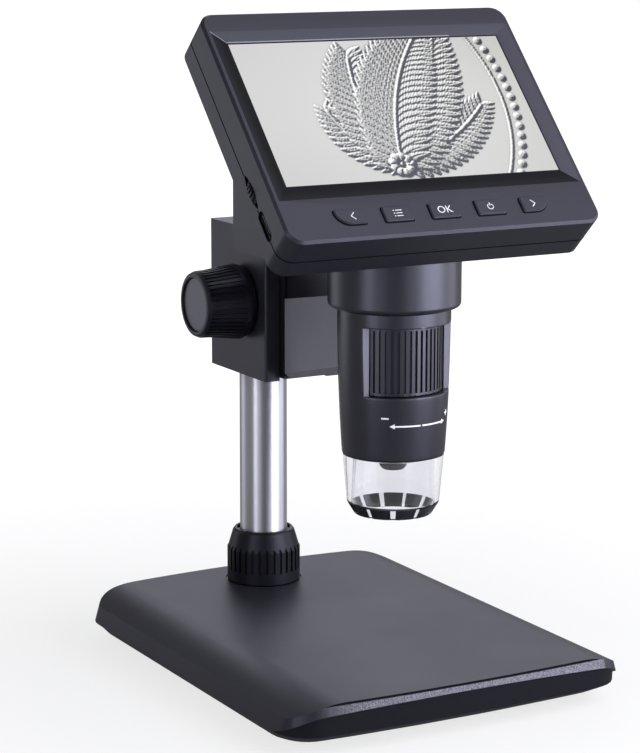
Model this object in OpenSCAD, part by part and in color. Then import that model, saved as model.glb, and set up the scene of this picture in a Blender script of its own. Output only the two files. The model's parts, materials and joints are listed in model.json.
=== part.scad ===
// Desktop digital microscope: a tilted screen head over a short optical barrel,
// carried by a rack-and-pinion bracket on a round pole that stands in a weighted base.
// Millimetres. Origin: centre of the base, on the surface that it stands on. +Z up, screen towards -Y.

/* [Base] */
// Width of the base at its seam
base_w = 119; // [112:1:136]
// Depth of the base from its front seam to its rear seam
base_d = 153.6; // [148:0.2:176]
// Height of the top face above the surface
base_h = 16; // [15:0.5:20]
// Plan radius of the corners
base_corner_r = 12; // [10:0.5:16]
// Width of the roll from the flat top down to each side crease
side_roll = 16; // [10:0.5:22]
// Height lost over the roll
side_drop = 4.6; // [3:0.1:5.4]
// Height of the seam along the sides and the rear
side_seam_z = 6; // [5.2:0.1:6.6]
// Height of the seam along the front
front_seam_z = 13.6; // [12:0.1:13.8]
// Wall of the top cover
cover_wall = 2.4; // [2:0.1:2.8]
// How far the tray's foot is set in from the side seam
tray_side_in = 7.5; // [6:0.5:9]
// How far the tray's foot is set in from the front seam
tray_front_in = 12.5; // [10:0.5:14]
// Height of the rubber feet below the tray
foot_proud = 0.6; // [0.4:0.1:1]
// Radius of a rubber foot
foot_r = 6; // [5:0.5:7]
// Thickness of the steel ballast plate
ballast_t = 5; // [3:0.5:6]

/* [Pole and nut] */
// Radius of the pole
pole_r = 8; // [7:0.25:8.5]
// Wall of the pole tube
pole_wall = 1.4; // [1:0.1:2]
// Height of the pole tube's upper end
pole_top_z = 163; // [161:0.5:175]
// Distance from the pole's axis forward to the barrel's axis
reach = 86.2; // [84:0.2:92]
// Distance of the pole's axis in front of the base's rear seam
pole_in = 20.9; // [19:0.1:23]
// Radius of the ribbed nut
nut_r = 12.4; // [12.2:0.1:13.5]
// Radius of the nut's top face
nut_top_r = 10; // [9.6:0.1:10.6]
// Height of the nut's ribbed part and its plain skirt
nut_body_h = 11.7; // [10:0.1:12]
// Height of the nut's cone
nut_cone_h = 6.4; // [5.5:0.1:7]
// Number of ribs round the nut
nut_ribs = 32; // [24:2:40]

/* [Bracket] */
// Width of the bracket block
block_w = 28; // [28:0.5:34]
// Height of the bracket block
block_h = 49.3; // [46:0.1:54]
// Height of the block's lower face above the surface
block_z = 90.2; // [88:0.2:94]
// Distance from the pole's axis to the block's front face
block_front = 28.3; // [28.3:0.1:31]
// Distance from the pole's axis to the block's rear face
block_rear = 11.2; // [11.2:0.1:14]
// Width of the slot that the arm slides in
slot_w = 17.6; // [16.6:0.1:18]
// Height of the pinion's axis above the block's lower face
knob_z = 24.7; // [22:0.1:27]
// Pitch radius of the pinion
pinion_r = 3.6; // [3.6:0.1:3.8]
// Teeth on the pinion
pinion_teeth = 12; // [12:1:13]
// Radius of a knob's rim
knob_r = 10.5; // [9.5:0.1:12]
// Radius of a knob's root
knob_root_r = 12.4; // [11:0.1:13]
// Length of a knob
knob_l = 17.6; // [15:0.1:20]
// Number of ribs round a knob
knob_ribs = 44; // [36:2:52]
// Radius of the clamp screw's thumb knob
clamp_r = 7; // [6:0.25:8]

/* [Arm] */
// Width of the arm
arm_w = 17.2; // [16.2:0.1:17.4]
// How far the slide bar stands out of the block's front face
bar_proud = 2.7; // [2.2:0.1:3.5]
// Rise of the arm's lower edge from the block to the barrel
arm_rise = 8.6; // [6:0.1:11]

/* [Barrel] */
// Radius of the collar under the screen head
collar_r = 20.5; // [19.5:0.1:22]
// Height of the collar's lower edge above the surface
collar_z = 123.1; // [121:0.1:125]
// Radius of the barrel at its top
barrel_r = 17.5; // [17:0.1:18]
// Loss of radius from the top to the foot of the barrel
barrel_taper = 1.6; // [1:0.1:2]
// Length of the barrel below the collar
barrel_l = 45.6; // [44:0.1:48]
// Height of the window over the focus wheel
window_h = 21.2; // [19:0.1:22]
// Distance of the window's upper edge below the collar
window_drop = 4.7; // [4:0.1:6]
// Radius of the focus wheel
wheel_r = 14.9; // [14.6:0.1:15]
// Number of ribs round the focus wheel
wheel_ribs = 50; // [40:2:56]
// Length of the clear cap
cap_l = 19; // [17:0.1:22]
// Wall of the clear cap
cap_wall = 1.3; // [1:0.1:1.6]

/* [Screen head] */
// Tilt of the screen from the horizontal, in degrees
tilt = 46.6; // [44:0.1:49]
// Height of the screen's centre above the surface
screen_z = 183.3; // [181:0.1:186]
// Width of the visible screen
screen_w = 95.04; // [92:0.01:96]
// Height of the visible screen
screen_h = 53.86; // [50:0.01:55]
// Width of the head's rim beside the visible screen
side_rim = 6.36; // [5.8:0.02:8]
// Height of the head's rim above the visible screen
top_rim = 11.05; // [10:0.05:13]
// Height of the head's chin below the visible screen
chin = 20.33; // [18.4:0.01:23]
// Corner radius of the head
head_r = 5; // [3:0.1:7]
// Depth of the front cover
front_t = 9.5; // [8.9:0.1:10.5]
// Depth of the rear cover
rear_t = 6.6; // [6:0.1:8]
// Wall of the head's covers
head_wall = 2; // [1.6:0.1:2.2]
// Depth of the slope round the screen
bezel_depth = 1; // [0.6:0.1:1.2]
// Distance of the rear housing's back wall behind the barrel's axis
wedge_back = 2.5; // [1:0.1:4]
// Distance of the rear housing's underside below the screen's centre
wedge_drop = 39.8; // [38:0.1:41]
// Width of a key
key_w = 9.7; // [8.5:0.1:11]
// Height of a key
key_h = 5.3; // [4.5:0.1:6]
// Distance between two keys' centres
key_pitch = 15.9; // [14:0.1:17]
// How far a key stands proud of the face
key_proud = 0.8; // [0.5:0.1:1.2]
// Radius of the dimmer wheel
dimmer_r = 7; // [6.6:0.1:7.4]

/* [Hidden] */
$fn = 64;

// Clearances
slide_fit = 0.3;      // beside the sliding bar
shaft_fit = 0.04;     // radial, turning shafts in their bores
seat_fit = 0.02;      // radial, pieces fixed in a hole
seam_gap = 0.15;      // between two covers
key_fit = 0.25;       // round a key
run_gap = 0.3;        // between two bodies that pass each other
eps = 0.01;

plastic = [0.22, 0.22, 0.26];
black = [0.07, 0.07, 0.08];
metal = [0.78, 0.79, 0.82];
steel = [0.62, 0.63, 0.65];
brass = [0.78, 0.62, 0.32];
board_green = [0.07, 0.28, 0.16];

// ---------- shared shapes ----------

module rounded_rect(w, h, r) {
    square([w - 2 * r, h], center = true);
    square([w, h - 2 * r], center = true);
    for (x = [-1, 1], y = [-1, 1]) translate([x * (w / 2 - r), y * (h / 2 - r)]) circle(r);
}

// A profile drawn in Y and Z, drawn out along X and centred on it
module along_x(w) rotate([90, 0, 90]) linear_extrude(w, center = true) children();

// A profile drawn in X and Z, drawn out along Y and centred on it
module along_y(d) rotate([90, 0, 0]) linear_extrude(d, center = true) children();

module x_cylinder(r, x0, x1) translate([x0, 0, 0]) rotate([0, 90, 0]) cylinder(r = r, h = x1 - x0);

module y_cylinder(r, y0, y1) translate([0, y1, 0]) rotate([90, 0, 0]) cylinder(r = r, h = y1 - y0);

module ring(r_out, r_in, h) difference() {
    cylinder(r = r_out, h = h);
    translate([0, 0, -1]) cylinder(r = r_in, h = h + 2);
}

module mirrored_x() {
    children();
    mirror([1, 0, 0]) children();
}

// A pan-head screw: its head below z = 0, its shank upwards
module pan_screw(shank_r, shank_l, head_r, head_h) {
    translate([0, 0, -head_h]) difference() {
        cylinder(r = head_r, h = head_h);
        translate([0, 0, -1]) cylinder(r = head_r * 0.45, h = 1 + head_h * 0.5, $fn = 6);
    }
    cylinder(r = shank_r, h = shank_l);
}

// Thin upright grooves round a cylinder, each open to the outside
module round_grooves(count, r, depth, width, z0, z1)
    for (i = [0 : count - 1])
        rotate([0, 0, 360 * i / count])
            translate([r - depth, -width / 2, z0]) cube([depth + 1, width, z1 - z0]);

function arc(cx, cy, r, a0, a1, n) =
    [for (i = [0 : n]) let (a = a0 + (a1 - a0) * i / n) [cx + r * cos(a), cy + r * sin(a)]];

// ---------- base ----------

crease_z = base_h - side_drop;
crease_in = 1.4;
lean = crease_in / (crease_z - side_seam_z);        // inward lean of the side band, per mm of height
flat_half = base_w / 2 - crease_in - side_roll;
roll_r = (side_roll * side_roll + side_drop * side_drop) / (2 * side_drop);
front_bow = 1.5;
rear_bow = 3;
seam_run = 22;                                      // length over which the seam climbs to the front
seam_power = 2.65;                                  // how late in that length it climbs
seam_steps = 10;
pole_y = base_d / 2 - pole_in;
tray_inset = 0.5;
tray_knee_z = 3;                                    // where the tray's wall turns towards its foot
tray_z = foot_proud;
tray_floor_z = tray_z + 2.2;
foot_seat = 1.2;
base_screw_at = [for (x = [-1, 1], y = [-1, 1])
    [x * (base_w / 2 - 16.5), y < 0 ? -base_d / 2 + 24.8 : base_d / 2 - 17.8]];
foot_at = [for (x = [-1, 1], y = [-1, 1])
    [x * (base_w / 2 - 21), y < 0 ? -base_d / 2 + 32.8 : base_d / 2 - 26.8]];
base_screw_r = 1.5;
base_boss_r = 4;
ballast_w = base_w - 42;
ballast_gap = 3;
ballast_corner_r = 4;
ballast_hole_r = 3;

// The base's outline: in is its inset all round, f and b move its front and back edges outwards
function base_outline(in, f = 0, b = 0, r0 = base_corner_r) =
    let (hw = base_w / 2 - in, r = max(2, r0 - in), w = hw - r,
         yf = -base_d / 2 + in - f, yb = base_d / 2 - in + b)
    concat(
        [for (i = [-3 : 3]) [w * i / 4, yf + front_bow * i * i / 16]],
        arc(w, yf + front_bow + r, r, -90, 0, 7),
        arc(w, yb - rear_bow - r, r, 0, 90, 7),
        [for (i = [3 : -1 : -3]) [w * i / 4, yb - rear_bow * i * i / 16]],
        arc(-w, yb - rear_bow - r, r, 90, 180, 7),
        arc(-w, yf + front_bow + r, r, 180, 270, 7));

module slice(z, points) translate([0, 0, z]) linear_extrude(eps) polygon(points);

// Everything under the seam between tray and cover, which climbs along the front corners
module below_seam() {
    y_end = -base_d / 2;
    climb = front_seam_z - side_seam_z;
    along_x(base_w * 2) polygon(concat(
        [[-base_d, -1], [-base_d, front_seam_z]],
        [for (i = [0 : seam_steps]) let (s = 1 - i / seam_steps)
            [y_end + seam_run * (1 - s), side_seam_z + climb * pow(s, seam_power)]],
        [[base_d, side_seam_z], [base_d, -1]]));
}

module cover_block(in) {
    front_out = lean * (front_seam_z - side_seam_z);
    intersection() {
        hull() {
            slice(0, base_outline(in - lean * side_seam_z, front_out));
            slice(base_h - in, base_outline(in + lean * (base_h - in - side_seam_z), front_out));
        }
        along_y(base_d * 2) intersection() {
            translate([-base_w, 0]) square([2 * base_w, base_h - in]);
            union() {
                translate([-flat_half, -base_h]) square([2 * flat_half, 3 * base_h]);
                mirrored_x() translate([flat_half, base_h - roll_r]) circle(roll_r - in);
            }
        }
    }
}

module base_cover() color(plastic) difference() {
    union() {
        difference() {
            cover_block(0);
            cover_block(cover_wall);
        }
        intersection() {
            cover_block(0);
            union() {
                for (p = base_screw_at) translate([p.x, p.y, side_seam_z + seam_gap])
                    cylinder(r = base_boss_r, h = base_h - 1 - side_seam_z - seam_gap);
                for (a = socket_screw_angles) translate([0, pole_y, socket_flange_z]) rotate([0, 0, a])
                    translate([socket_screw_r, 0, 0]) cylinder(r = 2.6, h = base_h - 1 - socket_flange_z);
            }
        }
    }
    below_seam();
    for (p = base_screw_at) translate([p.x, p.y, 0]) cylinder(r = base_screw_r + seat_fit, h = base_h - 3);
    for (a = socket_screw_angles) translate([0, pole_y, 0]) rotate([0, 0, a])
        translate([socket_screw_r, 0, 0]) cylinder(r = socket_screw_shank + seat_fit, h = base_h - 1.2);
    translate([0, pole_y, -1]) cylinder(r = stub_r + seat_fit, h = base_h * 2);
    translate([0, pole_y, base_h - nut_seat]) cylinder(r = nut_r + nut_seat_gap, h = base_h);
}

// The tray's outline at side inset x and front inset y, with corner radius r
function tray_outline(x, y, r) = base_outline(x, x - y, 0, r + x);

module base_tray() color(black) {
    difference() {
        intersection() {
            hull() {
                slice(tray_z, tray_outline(tray_side_in, tray_front_in, base_corner_r - 3));
                slice(tray_knee_z, tray_outline(tray_side_in * 0.4, tray_front_in * 0.54, base_corner_r));
                slice(side_seam_z, tray_outline(tray_inset, tray_inset + 0.7, base_corner_r - tray_inset));
                slice(front_seam_z, tray_outline(tray_inset, tray_inset, base_corner_r - tray_inset));
            }
            below_seam();
        }
        translate([0, 0, tray_floor_z]) difference() {
            linear_extrude(base_h) polygon(tray_outline(tray_side_in, tray_front_in, base_corner_r - 3));
            for (p = base_screw_at) translate([p.x, p.y, -1])
                cylinder(r = base_boss_r, h = side_seam_z - tray_floor_z + 1);
        }
        translate([0, pole_y, tray_floor_z]) cylinder(r = stub_r + run_gap, h = base_h);
        for (p = foot_at) translate([p.x, p.y, tray_z - 1]) cylinder(r = foot_r + seat_fit, h = foot_seat + 1);
        for (p = base_screw_at) translate([p.x, p.y, tray_z - 1]) {
            cylinder(r = 3.2, h = 3);
            cylinder(r = base_screw_r + 0.15, h = base_h);
        }
    }
}

// The ballast lies between the front screws and the pole's socket
module base_ballast() {
    y0 = base_screw_at[0].y;
    y1 = pole_y - socket_flange_r - ballast_gap;
    color(steel) translate([0, (y0 + y1) / 2, tray_floor_z]) difference() {
        linear_extrude(ballast_t) rounded_rect(ballast_w, y1 - y0, ballast_corner_r);
        for (x = [-1, 1]) translate([x * ballast_w / 4, 0, -1]) cylinder(r = ballast_hole_r, h = ballast_t + 2);
    }
}

module base_feet() color(black) for (p = foot_at)
    translate([p.x, p.y, 0]) cylinder(r = foot_r, h = foot_proud + foot_seat);

module base_screws() color(steel) for (p = base_screw_at)
    translate([p.x, p.y, tray_z + 2]) pan_screw(base_screw_r, 9, 2.9, 1.6);

// ---------- pole ----------

stub_r = 10.5;
socket_bore_z = 5;
socket_stub_top = base_h + 8.5;
socket_flange_z = base_h - cover_wall - 3;
socket_flange_t = 2.6;
socket_flange_r = 16.8;
socket_screw_r = 14.2;
socket_screw_shank = 1.25;
socket_screw_angles = [90, 210, 330];
nut_seat = 0.4;                                        // depth of the round recess under the nut
nut_seat_gap = 0.6;
nut_z = base_h - nut_seat + run_gap;
nut_cone_z = nut_z + nut_body_h;
nut_top_z = nut_cone_z + nut_cone_h;
collet_top_z = nut_top_z - 0.9;
collet_slit = 1;
nut_gap = 1.1;                                         // between the nut's mouth and the pole
rib_z0 = nut_z + 4;

module pole_socket() color(black) translate([0, pole_y, 0]) difference() {
    union() {
        translate([0, 0, tray_floor_z]) cylinder(r = stub_r, h = socket_stub_top - tray_floor_z);
        translate([0, 0, socket_flange_z - socket_flange_t]) cylinder(r = socket_flange_r, h = socket_flange_t);
    }
    translate([0, 0, socket_bore_z]) cylinder(r = pole_r + shaft_fit, h = base_h * 2);
    for (a = socket_screw_angles) rotate([0, 0, a])
        translate([socket_screw_r, 0, 0]) cylinder(r = socket_screw_shank + 0.15, h = base_h);
}

module socket_screws() color(steel) translate([0, pole_y, socket_flange_z - socket_flange_t])
    for (a = socket_screw_angles) rotate([0, 0, a])
        translate([socket_screw_r, 0, 0]) pan_screw(socket_screw_shank, 6, 2.3, 1.4);

// Split cone that the nut squeezes onto the pole
module pole_collet() color(black) translate([0, pole_y, 0]) difference() {
    rotate_extrude() polygon([
        [pole_r + shaft_fit, socket_stub_top], [stub_r - 0.1, socket_stub_top],
        [stub_r - 0.1, nut_cone_z - 1.5], [nut_top_r - 1.25, collet_top_z],
        [pole_r + shaft_fit, collet_top_z]]);
    for (a = [0 : 90 : 270]) rotate([0, 0, a + 45])
        translate([0, -collet_slit / 2, socket_stub_top + 1.5]) cube([stub_r * 2, collet_slit, base_h]);
}

module pole_nut() color(black) translate([0, pole_y, 0]) difference() {
    rotate_extrude() polygon([
        [stub_r + 0.15, nut_z], [nut_r - 0.4, nut_z], [nut_r, nut_z + 0.4],
        [nut_r, nut_cone_z - 0.4], [nut_r - 0.3, nut_cone_z],
        [nut_top_r + 0.5, nut_top_z - 1], [nut_top_r - 0.1, nut_top_z - 0.15], [nut_top_r - 0.4, nut_top_z],
        [pole_r + nut_gap, nut_top_z], [pole_r + nut_gap, nut_top_z - 0.5],
        [pole_r + nut_gap + 0.05, collet_top_z - 0.1], [stub_r + 0.15, nut_cone_z - 1.4]]);
    round_grooves(nut_ribs, nut_r, 0.65, PI * nut_r / nut_ribs * 0.8, rib_z0, nut_cone_z + 0.6);
}

module pole_tube() color(metal) translate([0, pole_y, socket_bore_z + 0.1])
    ring(pole_r, pole_r - pole_wall, pole_top_z - socket_bore_z - 0.1);

module pole_cap() color(black) translate([0, pole_y, pole_top_z]) rotate_extrude() union() {
    translate([0, -8]) square([pole_r - pole_wall - seat_fit, 8.5]);
    square([pole_r, 1.6]);
    translate([0, 1.6]) square([pole_r - 1, 1]);
    translate([pole_r - 1, 1.6]) intersection() {
        circle(1);
        square(1);
    }
}

// ---------- bracket ----------

block_y0 = pole_y - block_front;                       // front face
block_y1 = pole_y + block_rear;                        // rear face
block_top = block_z + block_h;
pinion_tip_r = pinion_r + 0.5;
pinion_root_r = pinion_r - 0.55;
knob_y = pole_y - pole_r - shaft_fit - 0.2 - pinion_tip_r;
shaft_z = block_z + knob_z;
pinion_half = 3.6;
shaft_r = 2.5;
bush_r = pinion_tip_r + 0.3;
lip_t = 4;
head_half = slot_w / 2 + 2.5;                          // half width of the channel behind the lips
channel_d = 4.4;
rack_half = 3;
tooth_pitch = 2 * PI * pinion_r / pinion_teeth;
rack_pitch_y = knob_y - pinion_r;
rack_tip_y = rack_pitch_y + 0.4;
rack_root_y = rack_pitch_y - 0.65;
clamp_z = block_z + block_h / 2;
clamp_boss_r = 7.5;
clamp_boss_t = 2;
stud_r = 2.5;
insert_r = 4;
insert_l = 4.4;

module bracket_block() color(plastic) difference() {
    union() {
        translate([0, (block_y0 + block_y1) / 2, block_z])
            linear_extrude(block_h) rounded_rect(block_w, block_y1 - block_y0, 0.8);
        translate([0, 0, clamp_z]) y_cylinder(clamp_boss_r, block_y1 - 1, block_y1 + clamp_boss_t);
    }
    translate([0, pole_y, block_z - 1]) cylinder(r = pole_r + shaft_fit, h = block_h + 2);
    translate([0, 0, block_z - 1]) {
        translate([-slot_w / 2, block_y0 - 1, 0]) cube([slot_w, lip_t + 2, block_h + 2]);
        translate([-head_half, block_y0 + lip_t, 0]) cube([2 * head_half, channel_d, block_h + 2]);
        translate([-rack_half - run_gap, block_y0 + lip_t, 0])
            cube([2 * (rack_half + run_gap), rack_tip_y + run_gap - block_y0 - lip_t, block_h + 2]);
    }
    translate([0, knob_y, shaft_z]) x_cylinder(pinion_tip_r + 0.3, -pinion_half - run_gap, pinion_half + run_gap);
    translate([-pinion_half - run_gap, block_y0 + lip_t + channel_d - eps, shaft_z - pinion_tip_r - 0.3])
        cube([2 * (pinion_half + run_gap), knob_y - block_y0 - lip_t - channel_d, 2 * pinion_tip_r + 0.6]);
    translate([0, knob_y, shaft_z]) x_cylinder(bush_r + seat_fit, -block_w, block_w);
    translate([0, 0, clamp_z]) y_cylinder(stud_r + 0.1, pole_y, block_y1 + clamp_boss_t + 1);
    translate([0, 0, clamp_z]) y_cylinder(insert_r + seat_fit, block_y1 + clamp_boss_t - insert_l, block_y1 + clamp_boss_t + 1);
}

module shaft_bushes() color(brass) mirrored_x() translate([0, knob_y, shaft_z]) difference() {
    x_cylinder(bush_r, pinion_half + run_gap, block_w / 2);
    x_cylinder(shaft_r + shaft_fit, 0, block_w);
}

module clamp_insert() color(brass) translate([0, 0, clamp_z]) difference() {
    y_cylinder(insert_r, block_y1 + clamp_boss_t - insert_l, block_y1 + clamp_boss_t);
    y_cylinder(stud_r + shaft_fit, pole_y, block_y1 + 20);
}

clamp_head_y = block_y1 + clamp_boss_t + 0.4;
clamp_head_l = 7.2;

module clamp_stud() color(steel) translate([0, 0, clamp_z])
    y_cylinder(stud_r, pole_y + pole_r + 0.1, clamp_head_y + clamp_head_l - 2);

module clamp_knob() color(black) translate([0, 0, clamp_z]) difference() {
    union() {
        y_cylinder(clamp_r, clamp_head_y + 1.5, clamp_head_y + clamp_head_l);
        y_cylinder(clamp_r - 2, clamp_head_y, clamp_head_y + 2);
    }
    y_cylinder(stud_r + seat_fit, clamp_head_y - 1, clamp_head_y + clamp_head_l - 2);
    for (i = [0 : 11]) rotate([0, 30 * i, 0]) translate([clamp_r + 0.6, 0, 0])
        y_cylinder(1.3, clamp_head_y + 1.2, clamp_head_y + clamp_head_l + 1);
}

// ---------- pinion and knobs ----------

pressure = 20;
backlash = 0.1;
function inv(a) = tan(a) * 180 / PI - a;
// Half angle that a tooth spans at radius r
function tooth_half(r) =
    let (rb = pinion_r * cos(pressure), a = acos(min(1, rb / max(r, rb))))
    90 / pinion_teeth - backlash / 2 / pinion_r * 180 / PI + inv(pressure) - inv(a);

module pinion_outline() {
    radii = [for (i = [0 : 4]) pinion_root_r + (pinion_tip_r - pinion_root_r) * i / 4];
    circle(pinion_root_r);
    for (k = [0 : pinion_teeth - 1]) rotate(360 * k / pinion_teeth) polygon(concat(
        [[0.5, -0.1]],
        [for (r = radii) let (h = tooth_half(r)) [r * cos(h), -r * sin(h)]],
        [for (i = [4 : -1 : 0]) let (r = radii[i], h = tooth_half(r)) [r * cos(h), r * sin(h)]],
        [[0.5, 0.1]]));
}

knob_x = block_w / 2 + run_gap;
knob_grip = 11;

module pinion_shaft() color(steel) translate([0, knob_y, shaft_z]) {
    x_cylinder(shaft_r, -knob_x - knob_grip, knob_x + knob_grip);
    rotate([90, 0, 90]) linear_extrude(2 * pinion_half, center = true) rotate(180) pinion_outline();
}

// One knob along +X, its root at x = 0
module knob_shape() difference() {
    rotate([0, 90, 0]) rotate_extrude() polygon([
        [0, 0], [knob_root_r - 2.2, 0], [knob_root_r - 0.7, 0.6], [knob_root_r, 2.4],
        [knob_r + 0.55, knob_l - 4.5], [knob_r + 0.45, knob_l - 1.6], [knob_r - 0.1, knob_l - 0.35],
        [knob_r - 0.9, knob_l], [disc_r + 0.35, knob_l], [disc_r + 0.1, knob_l - 0.6],
        [disc_r + 0.1, knob_l - disc_t - 0.8], [0, knob_l - disc_t - 0.8]]);
    for (i = [0 : knob_ribs - 1]) rotate([360 * i / knob_ribs, 0, 0])
        translate([2.6, -0.45, 0]) rotate([0, -knob_slope, 0])
            translate([0, 0, knob_root_r - 0.45]) cube([knob_l - 5.4, 0.9, 3]);
    x_cylinder(shaft_r + seat_fit, -1, knob_grip);
}
disc_r = knob_r - 1.9;
disc_t = 1;
knob_slope = -atan((knob_root_r - knob_r - 0.55) / (knob_l - 6.9));

module knob_right() color(black) translate([knob_x, knob_y, shaft_z]) knob_shape();

module knob_left() color(black) mirror([1, 0, 0]) translate([knob_x, knob_y, shaft_z]) knob_shape();

module knob_discs() color(plastic) mirrored_x()
    translate([0, knob_y, shaft_z]) x_cylinder(disc_r, knob_x + knob_l - disc_t - 0.8, knob_x + knob_l - 0.8);

// ---------- slide and arm ----------

bar_y0 = block_y0 - bar_proud;
bar_head_y0 = block_y0 + lip_t + 0.25;
bar_head_y1 = block_y0 + lip_t + channel_d - 0.3;
bar_z0 = block_z + 1;
bar_z1 = block_top - 0.5;
bar_half = slot_w / 2 - slide_fit;
rack_z0 = bar_z0 + 1.5;
rack_z1 = bar_z1 - 1.5;
rack_screw_z = [rack_z0 + 4, rack_z1 - 4];
bar_screw_x = 6;
bar_screw_z = [bar_z0 + 12, bar_z1 - 12];

module slide_bar() color(black) difference() {
    union() {
        translate([-bar_half, bar_y0, bar_z0]) cube([2 * bar_half, bar_head_y1 - bar_y0, bar_z1 - bar_z0]);
        translate([-head_half + slide_fit, bar_head_y0, bar_z0])
            cube([2 * (head_half - slide_fit), bar_head_y1 - bar_head_y0, bar_z1 - bar_z0]);
    }
    for (z = rack_screw_z) translate([0, 0, z]) y_cylinder(1.2 + seat_fit, bar_head_y1 - 5, bar_head_y1 + 1);
    for (x = [-1, 1], z = bar_screw_z) translate([x * bar_screw_x, 0, z]) {
        y_cylinder(1.65, bar_y0 - 1, bar_head_y1 + 1);
        y_cylinder(2.7, bar_head_y1 - 2, bar_head_y1 + 1);
    }
}

// Straight-sided rack teeth that mesh with the pinion's space at rest
module slide_rack() color(brass) difference() {
    along_x(2 * rack_half) {
        translate([bar_head_y1, rack_z0]) square([rack_root_y - bar_head_y1, rack_z1 - rack_z0]);
        intersection() {
            translate([bar_head_y1, rack_z0]) square([20, rack_z1 - rack_z0]);
            for (k = [-20 : 20]) translate([rack_pitch_y, shaft_z + (k + 0.5) * tooth_pitch]) rack_tooth();
        }
    }
    for (z = rack_screw_z) translate([0, 0, z]) {
        y_cylinder(1.3, bar_head_y1 - 1, rack_tip_y + 1);
        y_cylinder(2.2, rack_root_y - 1.3, rack_tip_y + 1);
    }
}

module rack_tooth() {
    half = tooth_pitch / 4 - backlash / 2;
    top = half - (rack_tip_y - rack_pitch_y) * tan(pressure);
    foot = half + (rack_pitch_y - rack_root_y) * tan(pressure);
    polygon([[rack_root_y - rack_pitch_y - eps, -foot], [rack_tip_y - rack_pitch_y, -top],
             [rack_tip_y - rack_pitch_y, top], [rack_root_y - rack_pitch_y - eps, foot]]);
}

module rack_screws() color(steel) {
    for (z = rack_screw_z) translate([0, rack_root_y - 1.3, z]) rotate([90, 0, 0]) pan_screw(1.2, 4, 2, 1.1);
    for (x = [-1, 1], z = bar_screw_z) translate([x * bar_screw_x, bar_head_y1 - 1.9, z])
        rotate([90, 0, 0]) pan_screw(1.5, 15, 2.6, 1.7);
}

barrel_y = pole_y - reach;
arm_y0 = barrel_y + 4;                                  // the arm's front end, inside the barrel's radius
arm_top = bar_z1 - 0.3;
arm_foot = bar_z0 + 0.4;
groove = 0.5;
arm_chamfer = 1.6;
arm_core_in = 1.1;
arm_screw_x = 4;
arm_screw_z = collar_z + 10;

module arm_side() polygon([
    [bar_y0 - groove, arm_foot], [bar_y0 - groove, arm_top], [arm_y0, arm_top],
    [arm_y0, arm_foot + arm_rise], [barrel_y + barrel_r, arm_foot + arm_rise]]);

// The arm's lower edges are cut off at 45 degrees along both sides
module arm_body() color(plastic) difference() {
    union() {
        along_x(arm_w) arm_side();
        along_x(arm_w - 2 * arm_core_in) polygon([
            [bar_y0, arm_foot + 0.5], [bar_y0, arm_top - 0.5], [bar_y0 - 2, arm_top - 0.5], [bar_y0 - 2, arm_foot + 1]]);
    }
    mirrored_x() hull() for (p = [[bar_y0, arm_foot], [barrel_y + barrel_r, arm_foot + arm_rise], [arm_y0, arm_foot + arm_rise]])
        translate([arm_w / 2, p.x, p.y]) rotate([0, 45, 0]) cube([arm_chamfer * 1.42, eps, arm_chamfer * 1.42], center = true);
    translate([0, barrel_y, collar_z - seam_gap]) cylinder(r = collar_r + 0.05, h = 60);
    translate([0, barrel_y, barrel_foot_z]) cylinder(r = barrel_r + 0.05, h = barrel_l + 1);
    for (x = [-1, 1], z = bar_screw_z) translate([x * bar_screw_x, 0, z])
        y_cylinder(1.5 + seat_fit, bar_y0 - 9, bar_y0 + 1);
    for (x = [-1, 1]) translate([x * arm_screw_x, 0, arm_screw_z])
        y_cylinder(1.5 + seat_fit, barrel_y, barrel_y + collar_r + 10);
}

module arm_screws() color(steel) for (x = [-1, 1])
    translate([x * arm_screw_x, barrel_y + collar_bore_r - 1.4, arm_screw_z])
        rotate([-90, 0, 0]) pan_screw(1.5, 11, 2.6, 1.6);

// ---------- barrel ----------

collar_bore_r = collar_r - 2.4;
collar_floor_t = 2.5;
spigot_r = 16;
barrel_foot_z = collar_z - seam_gap - barrel_l;
barrel_top = collar_z - seam_gap;
window_z1 = collar_z - window_drop;
window_z0 = window_z1 - window_h;
window_y = 7.7;                                        // distance of the window's flat lands in front of the axis
wheel_bore = wheel_r + run_gap;
wheel_z0 = window_z0 + run_gap;
wheel_z1 = window_z1 - run_gap;
bulkhead_z = barrel_foot_z + 5.6;
bulkhead_t = 2;
lower_bore = 14.2;
tube_r = 6;
sensor_z = window_z1 + 2.2;
wedge_z = screen_z - wedge_drop;
collar_plate_t = 2.5;
neck_screw_at = [[-12, -2], [12, -2], [-11.5, -10], [11.5, -10]];

function barrel_r_at(z) = barrel_r - barrel_taper * pow((barrel_top - z) / barrel_l, 2);

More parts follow.
